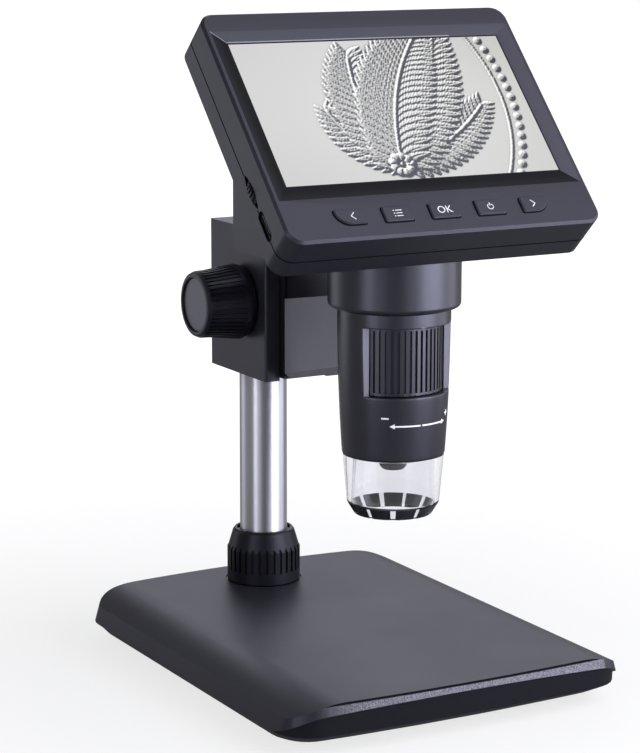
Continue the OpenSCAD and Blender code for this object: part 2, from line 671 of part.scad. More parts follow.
module neck_collar() color(plastic) difference() {
    intersection() {
        translate([0, barrel_y, 0]) union() {
            translate([0, 0, collar_z + 1.5]) cylinder(r = collar_r, h = wedge_z - collar_z - 3);
            translate([0, 0, collar_z + 1.5]) rotate_extrude() {
                translate([collar_r - 1.5, 0]) circle(1.5);
                translate([0, -1.5]) square([collar_r - 1.5, 3]);
            }
            translate([0, 0, wedge_z - 1.5]) rotate_extrude() {
                translate([collar_r - 1.5, 0]) circle(1.5);
                translate([0, -1.5]) square([collar_r - 1.5, 3]);
            }
            intersection() {
                translate([0, 0, wedge_z - 2]) cylinder(r = collar_r, h = 2);
                translate([-collar_r, -collar_r, wedge_z - 3]) cube([2 * collar_r, collar_r + wedge_back, 4]);
            }
        }
        translate([0, barrel_y, collar_z - 1]) cylinder(r = collar_r + 1, h = wedge_z - collar_z + 1);
    }
    head_block(0);
    translate([0, barrel_y, collar_z + collar_floor_t])
        cylinder(r = collar_bore_r, h = wedge_z - collar_plate_t - collar_z - collar_floor_t);
    translate([0, barrel_y, collar_z - 1]) cylinder(r = spigot_r + seat_fit, h = collar_floor_t + 2);
    translate([0, barrel_y, collar_z]) cylinder(r = 9, h = 40);
    for (p = neck_screw_at) translate([p.x, barrel_y + p.y, collar_z + 6]) cylinder(r = 1.4, h = 40);
    for (x = [-1, 1]) translate([x * arm_screw_x, 0, arm_screw_z])
        y_cylinder(1.65, barrel_y, barrel_y + collar_r + 1);
}

module neck_screws() color(steel) for (p = neck_screw_at)
    translate([p.x, barrel_y + p.y, wedge_z - collar_plate_t]) pan_screw(1.25, 6, 2.3, 1.4);

module barrel_shell() color(plastic) translate([0, barrel_y, 0]) difference() {
    union() {
        rotate_extrude() polygon(concat(
            [[0, barrel_foot_z + 0.3], [barrel_r - barrel_taper - 0.3, barrel_foot_z]],
            [for (i = [0 : 8]) let (z = barrel_foot_z + 0.3 + (barrel_l - 0.6) * i / 8) [barrel_r_at(z), z]],
            [[barrel_r - 0.3, barrel_top], [0, barrel_top]]));
        translate([0, 0, barrel_top - 1]) cylinder(r = spigot_r, h = seam_gap + collar_floor_t + 4);
    }
    translate([0, 0, barrel_foot_z - 1]) cylinder(r = lower_bore, h = bulkhead_z - barrel_foot_z + 1);
    translate([0, 0, barrel_foot_z]) cylinder(r = tube_r + 0.5, h = barrel_l + 20);
    translate([0, 0, bulkhead_z + bulkhead_t]) cylinder(r = 13.4, h = sensor_z - bulkhead_z - bulkhead_t);
    translate([0, 0, window_z0]) cylinder(r = wheel_bore, h = window_h);
    translate([0, 0, sensor_z]) cylinder(r = spigot_r - 1.4, h = 20);
    translate([-barrel_r * 2, -barrel_r * 2, window_z0]) cube([barrel_r * 4, barrel_r * 2 - window_y, window_h]);
    for (a = guide_angles) rotate([0, 0, a]) translate([guide_r, 0, bulkhead_z + 0.5]) cylinder(r = 1 + seat_fit, h = 5);
}

barrel_ring_z = collar_z + collar_floor_t;

module barrel_ring() color(black) translate([0, barrel_y, barrel_ring_z]) difference() {
    ring(collar_bore_r - 0.3, spigot_r + seat_fit, 2.4);
    for (a = [45 : 90 : 315]) rotate([0, 0, a]) translate([collar_bore_r - 1, -1, -1]) cube([2, 2, 5]);
}

module sensor_board() translate([0, barrel_y, sensor_z]) {
    color(board_green) cylinder(r = spigot_r - 1.4 - seat_fit, h = 1.6);
    color(black) translate([-4, -4, -1.8]) cube([8, 8, 1.8]);
    color(black) translate([-6, 4, 1.6]) cube([12, 5, 2]);
}

guide_angles = [60, 240];
guide_r = 10.4;

module guide_pins() color(steel) translate([0, barrel_y, 0])
    for (a = guide_angles) rotate([0, 0, a]) translate([guide_r, 0, bulkhead_z + 0.6])
        cylinder(r = 1, h = sensor_z - bulkhead_z - 0.6);

led_count = 8;
led_ring_r = 10.3;
led_z = bulkhead_z - 1.2;

module led_board() color([0.9, 0.9, 0.88]) translate([0, barrel_y, led_z]) ring(lower_bore - seat_fit, tube_r + 0.8, 1.2);

module leds() color([0.95, 0.93, 0.75]) translate([0, barrel_y, led_z])
    for (i = [0 : led_count - 1]) rotate([0, 0, 360 / led_count * (i + 0.5)])
        translate([led_ring_r, 0, -0.9]) linear_extrude(0.9) square([2.8, 2.8], center = true);

module focus_wheel() color(black) translate([0, barrel_y, wheel_z0]) difference() {
    cylinder(r = wheel_r, h = wheel_z1 - wheel_z0);
    translate([0, 0, -1]) cylinder(r = carrier_r + 0.15, h = window_h + 2);
    round_grooves(wheel_ribs, wheel_r, 0.8, PI * wheel_r / wheel_ribs * 0.9, 0.8, wheel_z1 - wheel_z0 - 0.8);
}

carrier_r = 12.6;
carrier_h = 12;
carrier_z = (window_z0 + window_z1) / 2 - carrier_h / 2;

module lens_carrier() color(black) translate([0, barrel_y, carrier_z]) difference() {
    cylinder(r = carrier_r, h = carrier_h);
    translate([0, 0, 3]) cylinder(r = 8.2, h = carrier_h);
    translate([0, 0, -1]) cylinder(r = tube_r - 1 + seat_fit, h = 8);
    for (a = guide_angles) rotate([0, 0, a]) translate([guide_r, 0, -1]) cylinder(r = 1 + shaft_fit, h = carrier_h + 2);
}

snout_z = barrel_foot_z - 3.6;

module lens_tube() color(black) translate([0, barrel_y, 0]) difference() {
    union() {
        translate([0, 0, snout_z]) cylinder(r = tube_r, h = carrier_z - snout_z);
        translate([0, 0, carrier_z - 1]) cylinder(r = tube_r - 1, h = 9);
    }
    translate([0, 0, snout_z + 3]) cylinder(r = tube_r - 2, h = 60);
    translate([0, 0, snout_z - 1]) cylinder(r1 = tube_r - 0.6, r2 = tube_r - 2.2, h = 2.2);
    translate([0, 0, snout_z]) cylinder(r = tube_r - 2.5, h = 4);
}

module front_lens() color([0.6, 0.7, 0.85, 0.5]) translate([0, barrel_y, snout_z + 3]) {
    cylinder(r = tube_r - 2 - seat_fit, h = 1.6);
    intersection() {
        translate([0, 0, 5.4]) sphere(r = 6.2);
        translate([0, 0, -0.8]) cylinder(r = tube_r - 2.6, h = 1);
    }
}

cap_top = barrel_foot_z - 0.1;
cap_r = barrel_r - barrel_taper - 0.2;
cap_knee_z = cap_top - cap_l + 3.6;
cap_knee_r = cap_r - 1.4;
cap_foot_r = cap_knee_r - 2.2;
cap_foot_z = cap_top - cap_l;
cap_spigot_h = 3;
cap_spigot_r = lower_bore - 0.08;

module clear_cap() color([0.85, 0.9, 0.95, 0.35]) translate([0, barrel_y, 0]) rotate_extrude() polygon([
    [cap_spigot_r - cap_wall, cap_top + cap_spigot_h], [cap_spigot_r, cap_top + cap_spigot_h],
    [cap_spigot_r, cap_top], [cap_r, cap_top], [cap_knee_r, cap_knee_z], [cap_foot_r, cap_foot_z],
    [cap_foot_r - cap_wall, cap_foot_z], [cap_foot_r - cap_wall, cap_foot_z + 0.9],
    [cap_knee_r - cap_wall - 0.1, cap_knee_z + 0.4], [cap_spigot_r - cap_wall, cap_top - 1]]);

// ---------- screen head, drawn flat: X across, Y up the screen, Z towards the viewer ----------

module in_head() translate([0, barrel_y - 0.1, screen_z]) rotate([tilt, 0, 0]) children();

head_w = screen_w + 2 * side_rim;
head_h = screen_h + top_rim + chin;
head_drop = (chin - top_rim) / 2;
face_z = bezel_depth;
seam_z = face_z - front_t;
back_z = seam_z - rear_t;
lip_z = -1;                                            // inside of the front wall
slope_in = 1.81;                                       // what the slope leaves of the side rim
slope_up = 3.84;
slope_down = 5.26;
slope_w = head_w - 2 * slope_in;
slope_h = screen_h + slope_up + slope_down;
slope_y = (slope_up - slope_down) / 2;
face_edge = 0.8;

module head_plate(z0, z1, in = 0) translate([0, -head_drop, z0])
    linear_extrude(z1 - z0) rounded_rect(head_w - 2 * in, head_h - 2 * in, max(0.5, head_r - in));

// A thin rounded rectangle used as the end of a sloping rim
module rim_slice(w, h, r, z) translate([0, 0, z]) linear_extrude(eps) rounded_rect(w, h, r, $fn = 24);

// Back wall of the head in Y and Z of the whole model, in inset
function back_point(y_local, in) = let (z = back_z + in)
    [barrel_y - 0.1 + y_local * cos(tilt) - z * sin(tilt), screen_z + y_local * sin(tilt) + z * cos(tilt)];

wedge_r = 1.6;
// Housing behind the screen: an upright back wall and a level underside, in the head's side view
module wedge_side(in) {
    yb = barrel_y + wedge_back - in;
    zb = wedge_z + in;
    r = max(0.3, wedge_r - in);
    y_top = (yb - barrel_y + 0.1 + (back_z + in) * sin(tilt)) / cos(tilt);
    y_low = (zb - screen_z - (back_z + in) * cos(tilt)) / sin(tilt);
    polygon(concat(
        [back_point(y_low, in + 4), back_point(y_low, in)],
        arc(yb - r, zb + r, r, -90, 0, 4),
        [back_point(y_top, in), back_point(y_top, in + 4)]));
}

// The head's whole outer form, in inset
module head_block(in) {
    in_head() head_plate(back_z + in, face_z - face_edge, in);
    along_x(head_w - 2 * in) wedge_side(in);
}

boss_at = [for (x = [-1, 1], y = [-1, 1]) [x * (head_w / 2 - 5.9), -head_drop + y * (head_h / 2 - 5.2)]];
boss_r = 2.6;
screw_r = 1.2;
frame_t = 4;
frame_gap = 0.35;
frame_top_in = 8.55;                                   // from the head's upper end to the screen's frame
frame_foot_in = 15.83;                                 // from the head's lower end to the screen's frame
frame_h = head_h - frame_top_in - frame_foot_in;
frame_y = (frame_foot_in - frame_top_in) / 2 - head_drop;
frame_corner_r = 0.6;
head_foot_y = -screen_h / 2 - chin;
board_z1 = lip_z - frame_t - run_gap;                  // front face of the main board
board_t = 1.6;
board_side = 1;                                        // between the board and the head's side walls
board_end = 5.86;                                      // between the board and the head's end walls
board_screw_l = 5;
battery_w = screen_w * 0.63;
battery_h = screen_h * 0.59;
battery_t = 4.2;
battery_y = 9;
post_r = 2.4;
post_in_x = 17.88;                                     // from the head's sides to the board's posts
post_in_y = 4.93;                                      // from the picture's edges to the board's posts
board_z0 = board_z1 - board_t;
post_at = [for (x = [-1, 1], y = [-1, 1])
    [x * (head_w / 2 - post_in_x), y * (screen_h / 2 - post_in_y)]];
key_y = head_foot_y + 7.6;
key_x = [for (i = [-2 : 2]) i * key_pitch];
key_board_z = lip_z - 2.4;
dimmer_y = head_foot_y + 25.46;
dimmer_z = board_z0 - 1.3;
dimmer_t = 2.4;
dimmer_x = -head_w / 2 - 0.7 + dimmer_r;
usb_y = head_foot_y + 13.26;
usb_w = 8;
usb_h = 2.7;
card_y = head_foot_y + 25.26;
card_w = 12;
card_l = 13;

module window_cut() hull() {
    translate([0, slope_y, 0]) rim_slice(slope_w, slope_h, 0.3, face_z);
    rim_slice(screen_w, screen_h, 0.1, -eps);
}

module front_cover() color(plastic) in_head() difference() {
    union() {
        difference() {
            union() {
                head_plate(seam_z, face_z - face_edge);
                translate([0, -head_drop, 0]) hull() {
                    rim_slice(head_w, head_h, head_r, face_z - face_edge - eps);
                    rim_slice(head_w - 2 * face_edge, head_h - 2 * face_edge, head_r - face_edge, face_z - eps);
                }
            }
            head_plate(seam_z - 1, lip_z, head_wall);
        }
        for (p = boss_at) translate([p.x, p.y, seam_z]) cylinder(r = boss_r, h = -seam_z - 0.5);
        for (x = [-1.5 : 1.5]) translate([x * key_pitch, key_y, key_board_z])
            cylinder(r = 1.2, h = -key_board_z - 0.5);
    }
    window_cut();
    translate([0, 0, -2]) linear_extrude(2 + eps) square([screen_w, screen_h], center = true);
    for (p = boss_at) translate([p.x, p.y, seam_z - 1]) cylinder(r = screw_r + seat_fit, h = front_t - 1);
    for (i = [0 : 4]) translate([key_x[i], key_y, -5]) linear_extrude(10) key_outline(i, key_fit);
    side_cuts();
}

// Openings that the two covers share along their seam
module side_cuts() {
    translate([-head_w / 2, dimmer_y, dimmer_z])
        linear_extrude(dimmer_t + 0.8, center = true) square([8, 12.4], center = true);
    translate([-head_w / 2, usb_y, board_z0 - usb_h / 2])
        linear_extrude(usb_h + 0.4, center = true) square([8, usb_w + 0.5], center = true);
    translate([head_w / 2, card_y, board_z0 - 0.9])
        linear_extrude(1.9, center = true) square([8, card_w + 0.4], center = true);
}

module rear_cover() color(plastic) difference() {
    union() {
        difference() {
            union() {
                in_head() head_plate(back_z, seam_z - seam_gap);
                along_x(head_w) wedge_side(0);
            }
            in_head() head_plate(back_z + head_wall, seam_z + 1, head_wall);
            along_x(head_w - 2 * head_wall) wedge_side(head_wall);
            in_head() head_plate(seam_z - seam_gap, face_z + 1, -1);
        }
        intersection() {
            union() {
                in_head() {
                    for (p = boss_at) translate([p.x, p.y, back_z]) cylinder(r = boss_r, h = rear_t - seam_gap);
                    for (p = post_at) translate([p.x, p.y, board_z0 - wedge_drop])
                        cylinder(r = post_r, h = wedge_drop);
                }
                for (p = neck_screw_at) translate([p.x, barrel_y + p.y, wedge_z + 1]) cylinder(r = 2.6, h = 5);
            }
            union() {
                in_head() head_plate(back_z, seam_z + 4, 0.5);
                along_x(head_w - 1) wedge_side(0.5);
            }
        }
    }
    in_head() {
        for (p = boss_at) translate([p.x, p.y, back_z - 1]) {
            cylinder(r = screw_r + 0.15, h = rear_t + 2);
            cylinder(r = 2.5, h = 3);
        }
        for (p = post_at) translate([p.x, p.y, board_z0 - 5]) cylinder(r = 1 + seat_fit, h = 6);
        side_cuts();
    }
    for (p = neck_screw_at) translate([p.x, barrel_y + p.y, wedge_z - 1]) cylinder(r = 1.25 + seat_fit, h = 6);
    translate([-8, barrel_y - 9, wedge_z - 2]) cube([16, 9, 6]);
}

module head_screws() color(steel) in_head() for (p = boss_at)
    translate([p.x, p.y, back_z + 2]) pan_screw(screw_r, 9, 2.3, 1.4);

module lcd_screen() color([0.75, 0.76, 0.74]) in_head()
    translate([0, 0, lip_z]) linear_extrude(0.85) square([screen_w - 0.2, screen_h - 0.2], center = true);

module lcd_frame() color(steel) in_head() translate([0, frame_y, lip_z - frame_t])
    linear_extrude(frame_t) rounded_rect(head_w - 2 * (head_wall + frame_gap), frame_h, frame_corner_r);

module main_board() in_head() {
    color(board_green) translate([0, 0, board_z0]) linear_extrude(board_t) difference() {
        translate([0, -head_drop]) square(
            [head_w - 2 * (head_wall + board_side), head_h - 2 * (head_wall + board_end)], center = true);
        for (p = boss_at) translate(p) circle(boss_r + 0.4);
        for (p = post_at) translate(p) circle(1 + 0.15);
        translate([dimmer_x, dimmer_y]) circle(1.5);
    }
    color(black) {
        translate([-18, -18, board_z0 - 1]) cube([12, 12, 1]);
        translate([4, -16, board_z0 - 1]) cube([9, 9, 1]);
        translate([20, -18, board_z0 - 1.4]) cube([10, 5, 1.4]);
        translate([-6, -34, board_z0 - 1.8]) cube([12, 5, 1.8]);
    }
}

module board_screws() color(steel) in_head() for (p = post_at)
    translate([p.x, p.y, board_z1]) rotate([180, 0, 0]) pan_screw(1, board_screw_l, 1.8, 0.25);

module battery() color([0.75, 0.77, 0.8]) in_head()
    translate([0, battery_y, back_z + head_wall]) linear_extrude(battery_t) rounded_rect(battery_w, battery_h, 1.5);

module key_board() color(board_green) in_head()
    translate([0, key_y, key_board_z - 1.2]) linear_extrude(1.2) square([4 * key_pitch + 18, 9], center = true);

module key_switches() color(steel) in_head() for (x = key_x) translate([x, key_y, key_board_z]) {
    linear_extrude(0.8) square([4.4, 4.4], center = true);
    cylinder(r = 1, h = 1.1);
}

module usb_socket() color(steel) in_head() translate([-head_w / 2 + 0.6, usb_y, board_z0 - usb_h / 2]) difference() {
    translate([0, -usb_w / 2, -usb_h / 2]) cube([5.5, usb_w, usb_h]);
    translate([-1, -usb_w / 2 + 0.4, -usb_h / 2 + 0.4]) cube([5, usb_w - 0.8, usb_h - 0.8]);
}

module card_socket() color(steel) in_head()
    translate([head_w / 2 - 0.6 - card_l, card_y, board_z0 - 0.9]) difference() {
        translate([0, -card_w / 2, -0.9]) cube([card_l, card_w, 1.8]);
        translate([1, -card_w / 2 + 0.4, -0.5]) cube([card_l, card_w - 0.8, 1]);
    }

module dimmer_wheel() color(black) in_head() translate([dimmer_x, dimmer_y, dimmer_z - dimmer_t / 2]) difference() {
    union() {
        cylinder(r = dimmer_r, h = dimmer_t);
        cylinder(r = 1.4, h = dimmer_t + 1.2);
    }
    for (i = [0 : 29]) rotate([0, 0, 12 * i]) translate([dimmer_r - 0.45, -0.35, -1]) cube([1, 0.7, dimmer_t + 2]);
}

// ---------- keys ----------

key_round = 0.7;
key_flange = 0.7;

// A key's outline seen from the front; the two end keys are rounded off at their outer lower corner
module key_outline(i, grow) {
    w = key_w + 2 * grow;
    h = key_h + 2 * grow;
    big = key_h * 0.92 + grow;
    side = i == 0 ? -1 : 1;
    if (i > 0 && i < 4) rounded_rect(w, h, key_round);
    else intersection() {
        rounded_rect(w, h, key_round);
        union() {
            translate([side * (w / 2 - big), -h / 2 + big]) circle(big);
            translate([side < 0 ? -w / 2 + big : -w / 2, -h / 2]) square([w - big, h]);
            translate([-w / 2, -h / 2 + big]) square([w, h - big]);
        }
    }
}

module key(i) color(black) in_head() translate([key_x[i], key_y, 0]) difference() {
    union() {
        translate([0, 0, lip_z - 0.6]) linear_extrude(face_z + key_proud - lip_z + 0.6) key_outline(i, 0);
        translate([0, 0, lip_z - 0.6]) linear_extrude(0.5) key_outline(i, key_flange);
    }
    translate([0, 0, face_z + key_proud - 0.25]) difference() {
        linear_extrude(1) key_outline(i, 1);
        translate([0, 0, -1]) linear_extrude(3) key_outline(i, -0.25);
    }
}

module key_previous() key(0);
module key_menu() key(1);
module key_ok() key(2);
module key_power() key(3);
module key_next() key(4);

base_cover();
base_tray();
base_ballast();
base_feet();
base_screws();
pole_socket();
socket_screws();
pole_collet();
pole_nut();
pole_tube();
pole_cap();
bracket_block();
shaft_bushes();
clamp_insert();
clamp_stud();
clamp_knob();
pinion_shaft();
knob_left();
knob_right();
knob_discs();
slide_bar();
slide_rack();
rack_screws();
arm_body();
arm_screws();
neck_collar();
neck_screws();
barrel_shell();
barrel_ring();
sensor_board();
guide_pins();
led_board();
leds();
focus_wheel();
lens_carrier();
lens_tube();
front_lens();
clear_cap();
front_cover();
rear_cover();
head_screws();
lcd_screen();
lcd_frame();
main_board();
board_screws();
battery();
key_board();
key_switches();
usb_socket();
card_socket();
dimmer_wheel();
key_previous();
key_menu();
key_ok();
key_power();
key_next();
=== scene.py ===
"""Looks of the desktop digital microscope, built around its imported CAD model. Metres, +Z up, screen towards -Y."""

import json
import math

import bpy
import numpy as np
from mathutils import Matrix, Vector


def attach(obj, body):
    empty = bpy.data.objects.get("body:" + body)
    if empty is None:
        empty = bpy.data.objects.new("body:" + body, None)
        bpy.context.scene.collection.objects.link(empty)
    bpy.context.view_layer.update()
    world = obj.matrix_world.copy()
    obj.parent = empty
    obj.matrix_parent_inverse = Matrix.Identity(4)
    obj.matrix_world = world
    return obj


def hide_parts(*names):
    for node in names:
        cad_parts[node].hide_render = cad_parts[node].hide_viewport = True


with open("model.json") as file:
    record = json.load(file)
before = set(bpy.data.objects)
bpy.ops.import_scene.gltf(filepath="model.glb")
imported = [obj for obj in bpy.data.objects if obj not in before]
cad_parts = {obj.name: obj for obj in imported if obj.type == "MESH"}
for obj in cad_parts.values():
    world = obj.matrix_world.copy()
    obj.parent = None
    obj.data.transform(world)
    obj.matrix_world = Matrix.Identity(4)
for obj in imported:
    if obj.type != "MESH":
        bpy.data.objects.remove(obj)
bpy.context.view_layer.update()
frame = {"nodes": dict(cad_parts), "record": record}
MM = 0.001

# The screen head's own frame: X across, Y up the screen, Z out towards the viewer, origin at the screen's centre
TILT = math.radians(46.6)
SCREEN_CENTRE = Vector((0.0, -30.4, 183.3)) * MM
HEAD = Matrix.Translation(SCREEN_CENTRE) @ Matrix.Rotation(TILT, 4, "X")
FACE_Z = 1.0 * MM  # how far the head's front face stands before the screen
BARREL_Y = -30.3 * MM  # where the barrel's axis stands

BODY_OF = {node: body for body, nodes in frame["record"]["behaviour"]["bodies"].items() for node in nodes}

rng = np.random.default_rng(7)


# ---------- node helpers ----------

NOISE_RANGE = (0.3, 0.7)  # where most of a noise's values lie


def new_material(name):
    material = bpy.data.materials.new(name)
    material.use_nodes = True
    tree = material.node_tree
    shader = tree.nodes["Principled BSDF"]
    return material, tree, shader


def set_shader(shader, color, rough, specular=0.5, metallic=0.0):
    shader.inputs["Base Color"].default_value = (*color, 1)
    shader.inputs["Roughness"].default_value = rough
    shader.inputs["Specular IOR Level"].default_value = specular
    shader.inputs["Metallic"].default_value = metallic
    shader.inputs["Specular Tint"].default_value = (*BLUE_SHEEN, 1)


def plain_gloss(shader):
    """Takes the blue out of a surface's reflections."""
    shader.inputs["Specular Tint"].default_value = (1, 1, 1, 1)


def object_noise(tree, scale, detail=2.0, stretch=(1, 1, 1)):
    """Noise on the piece's own coordinates; scale is in cycles per metre."""
    place = tree.nodes.new("ShaderNodeTexCoord")
    mapping = tree.nodes.new("ShaderNodeMapping")
    mapping.inputs["Scale"].default_value = stretch
    noise = tree.nodes.new("ShaderNodeTexNoise")
    noise.inputs["Scale"].default_value = scale
    noise.inputs["Detail"].default_value = detail
    tree.links.new(place.outputs["Object"], mapping.inputs["Vector"])
    tree.links.new(mapping.outputs["Vector"], noise.inputs["Vector"])
    return noise.outputs["Fac"]


def add_bump(tree, shader, height, strength, distance):
    bump = tree.nodes.new("ShaderNodeBump")
    bump.inputs["Strength"].default_value = strength
    bump.inputs["Distance"].default_value = distance
    tree.links.new(height, bump.inputs["Height"])
    tree.links.new(bump.outputs["Normal"], shader.inputs["Normal"])


def ramp(tree, source, start, stop, low=0.0, high=1.0):
    """A value that goes from low to high while its source goes from start to stop."""
    spread = tree.nodes.new("ShaderNodeMapRange")
    for limit, value in (("From Min", start), ("From Max", stop), ("To Min", low), ("To Max", high)):
        spread.inputs[limit].default_value = value
    tree.links.new(source, spread.inputs["Value"])
    return spread.outputs["Result"]


def vary(tree, noise, low, high, target):
    """Feeds a socket with a noise spread between two limits."""
    tree.links.new(ramp(tree, noise, *NOISE_RANGE, low, high), target)


def combine(tree, operation, first, second):
    """Two values multiplied, or the greater of the two; the second may be a plain number."""
    node = tree.nodes.new("ShaderNodeMath")
    node.operation = operation
    tree.links.new(first, node.inputs[0])
    if isinstance(second, float):
        node.inputs[1].default_value = second
    else:
        tree.links.new(second, node.inputs[1])
    return node.outputs[0]


def blend_colors(tree, factor, first, second, target):
    mix = tree.nodes.new("ShaderNodeMix")
    mix.data_type = "RGBA"
    mix.inputs["A"].default_value = (*first, 1)
    mix.inputs["B"].default_value = (*second, 1)
    tree.links.new(factor, mix.inputs["Factor"])
    tree.links.new(mix.outputs["Result"], target)


def coordinate(tree, axis):
    """One of the piece's own coordinates, in metres."""
    place = tree.nodes.new("ShaderNodeTexCoord")
    split = tree.nodes.new("ShaderNodeSeparateXYZ")
    tree.links.new(place.outputs["Object"], split.inputs["Vector"])
    return split.outputs[axis]


# ---------- plastics and metals ----------

BLUE_SHEEN = (0.78, 0.79, 1.0)  # tint of the plastics' reflections
CLOUD_SCALE = 28.0  # of the slow change in a plastic's sheen
CLOUD_SPREAD = 0.02
GRAIN_DEPTH = 0.00006
SCRATCH_DEPTH = 0.00002


def textured_plastic(name, dark, light, rough, specular, grain_scale, grain_strength):
    """Moulded plastic with a fine spark-eroded grain and slight, wide variation in its sheen."""
    material, tree, shader = new_material(name)
    set_shader(shader, light, rough, specular)
    grain = object_noise(tree, grain_scale, 3.0)
    cloud = object_noise(tree, CLOUD_SCALE)
    blend_colors(tree, grain, dark, light, shader.inputs["Base Color"])
    vary(tree, cloud, rough - CLOUD_SPREAD, rough + CLOUD_SPREAD, shader.inputs["Roughness"])
    add_bump(tree, shader, grain, grain_strength, GRAIN_DEPTH)
    return material


def turned_metal(name, color, rough, stretch):
    """Metal drawn or turned in one direction."""
    material, tree, shader = new_material(name)
    set_shader(shader, color, rough, 0.5, 1.0)
    lines = object_noise(tree, 1500, 4.0, stretch)
    vary(tree, lines, rough - 0.06, rough + 0.08, shader.inputs["Roughness"])
    dark = tuple(c * 0.86 for c in color)
    blend_colors(tree, lines, dark, color, shader.inputs["Base Color"])
    add_bump(tree, shader, lines, 0.12, SCRATCH_DEPTH)
    return material


def drawn_tube(name, color, rough):
    """Tube turned round its axis: fine rings spread its sheen up and down, not sideways."""
    material, tree, shader = new_material(name)
    set_shader(shader, color, rough, 0.5, 1.0)
    plain_gloss(shader)
    shader.inputs["Anisotropic"].default_value = 0.9
    shader.inputs["Anisotropic Rotation"].default_value = 0.25
    tangent = tree.nodes.new("ShaderNodeTangent")
    tangent.direction_type = "RADIAL"
    tangent.axis = "Z"
    tree.links.new(tangent.outputs["Tangent"], shader.inputs["Tangent"])
    vary(tree, object_noise(tree, 90), rough - 0.02, rough + 0.02, shader.inputs["Roughness"])
    return material


# Above this height the base's front edge is painted dark: a painted shadow line under the cover's rounded top
SHADOW_LINE = (0.01515, 0.01535)  # height at which the base's sparkling edge goes dark
SPARKLE_END = (-0.048, -0.037)  # stretch of X over which the sparkle comes up from the left


def sparkling_edge():
    """The base's front edge: a painted sparkling highlight in coarse bright spots, fading in at its left end, with a
    painted shadow line along its top.
    """
    material, tree, shader = new_material("edge_sparkle")
    set_shader(shader, (0.05, 0.05, 0.06), 0.34)
    below = ramp(tree, coordinate(tree, "Z"), *SHADOW_LINE, 1.0, 0.0)
    inside = ramp(tree, coordinate(tree, "X"), *SPARKLE_END)
    spots = ramp(tree, object_noise(tree, 2600, 3.0), 0.35, 0.65)
    bright = combine(tree, "MULTIPLY", combine(tree, "MULTIPLY", below, inside), spots)
    blend_colors(tree, bright, (0.008, 0.008, 0.010), (0.16, 0.16, 0.18), shader.inputs["Base Color"])
    tree.links.new(combine(tree, "MULTIPLY", below, 0.55), shader.inputs["Specular IOR Level"])
    return material


# In each: the darker and the lighter tone, roughness, gloss, grain in cycles per metre and its strength
CHARCOAL = textured_plastic(
    "charcoal_plastic", (0.010, 0.010, 0.014), (0.017, 0.017, 0.023), 0.40, 0.55, 4200, 0.35)
BARREL_CHARCOAL = textured_plastic(
    "barrel_charcoal", (0.009, 0.009, 0.012), (0.015, 0.015, 0.020), 0.31, 0.85, 4200, 0.25)
BASE_CHARCOAL = textured_plastic(
    "base_charcoal", (0.010, 0.010, 0.014), (0.018, 0.018, 0.024), 0.42, 0.5, 3600, 0.4)
BLACK = textured_plastic(
    "black_plastic", (0.005, 0.005, 0.007), (0.009, 0.009, 0.012), 0.36, 0.5, 5200, 0.12)
TRAY_BLACK = textured_plastic(
    "tray_black", (0.004, 0.004, 0.006), (0.008, 0.008, 0.011), 0.5, 0.3, 3600, 0.3)
SEAM_BLACK = textured_plastic(
    "seam_black", (0.001, 0.001, 0.001), (0.003, 0.003, 0.003), 0.9, 0.05, 3000, 0.2)
ARM_GREY = textured_plastic(
    "arm_grey", (0.13, 0.131, 0.152), (0.20, 0.201, 0.232), 0.50, 0.4, 2600, 0.5)
# Painted highlight: a lighter grey for the lit flats beside the focus wheel
LIT_LAND_GREY = textured_plastic(
    "window_land_painted_highlight", (0.10, 0.10, 0.12), (0.14, 0.14, 0.165), 0.35, 0.6, 3600, 0.3)
DISC_GREY = textured_plastic(
    "disc_grey", (0.06, 0.06, 0.07), (0.08, 0.08, 0.09), 0.42, 1.0, 3600, 0.2)
NUT_BLACK = textured_plastic(
    "nut_black", (0.005, 0.005, 0.007), (0.009, 0.009, 0.012), 0.33, 0.28, 5200, 0.12)
# Painted reflection: dark stretches on the clear cap's foot chamfer
RIM_PAINTED_DARK = textured_plastic(
    "cap_rim_painted_reflection", (0.012, 0.012, 0.014), (0.03, 0.03, 0.034), 0.12, 0.5, 900, 0.05)
EDGE_SPARKLE = sparkling_edge()
# Painted highlight: a lighter copy of the charcoal for the slopes right of and above the screen
LIT_SLOPE_GREY = textured_plastic(
    "painted_lit_bezel_grey", (0.030, 0.031, 0.040), (0.042, 0.043, 0.054), 0.45, 0.5, 5200, 0.1)
NOSE_GREY = textured_plastic(
    "nose_grey", (0.05, 0.05, 0.055), (0.075, 0.075, 0.085), 0.35, 0.5, 3000, 0.05)
# Painted highlight: a light grey that stands in for glints on narrow edges
GLINT = textured_plastic(
    "painted_edge_glint", (0.20, 0.20, 0.23), (0.32, 0.32, 0.36), 0.35, 0.5, 2600, 0.2)
# The screen's own black, and also a painted dark reflection on the slopes left of and below the screen
SCREEN_AND_SHADED_SLOPE_BLACK = textured_plastic(
    "screen_and_shaded_bezel_black", (0.005, 0.005, 0.006), (0.008, 0.008, 0.009), 0.30, 0.18, 5200, 0.05)
RUBBER = textured_plastic(
    "foot_rubber", (0.012, 0.012, 0.012), (0.022, 0.022, 0.022), 0.75, 0.3, 1800, 0.4)
ALUMINIUM = drawn_tube("pole_aluminium", (0.78, 0.785, 0.87), 0.41)
STEEL = turned_metal("screw_steel", (0.56, 0.57, 0.59), 0.32, (1, 1, 1))
BRASS = turned_metal("turned_brass", (0.80, 0.60, 0.28), 0.28, (0.05, 1, 1))


# ---------- print, clear pieces, boards and the lit picture ----------


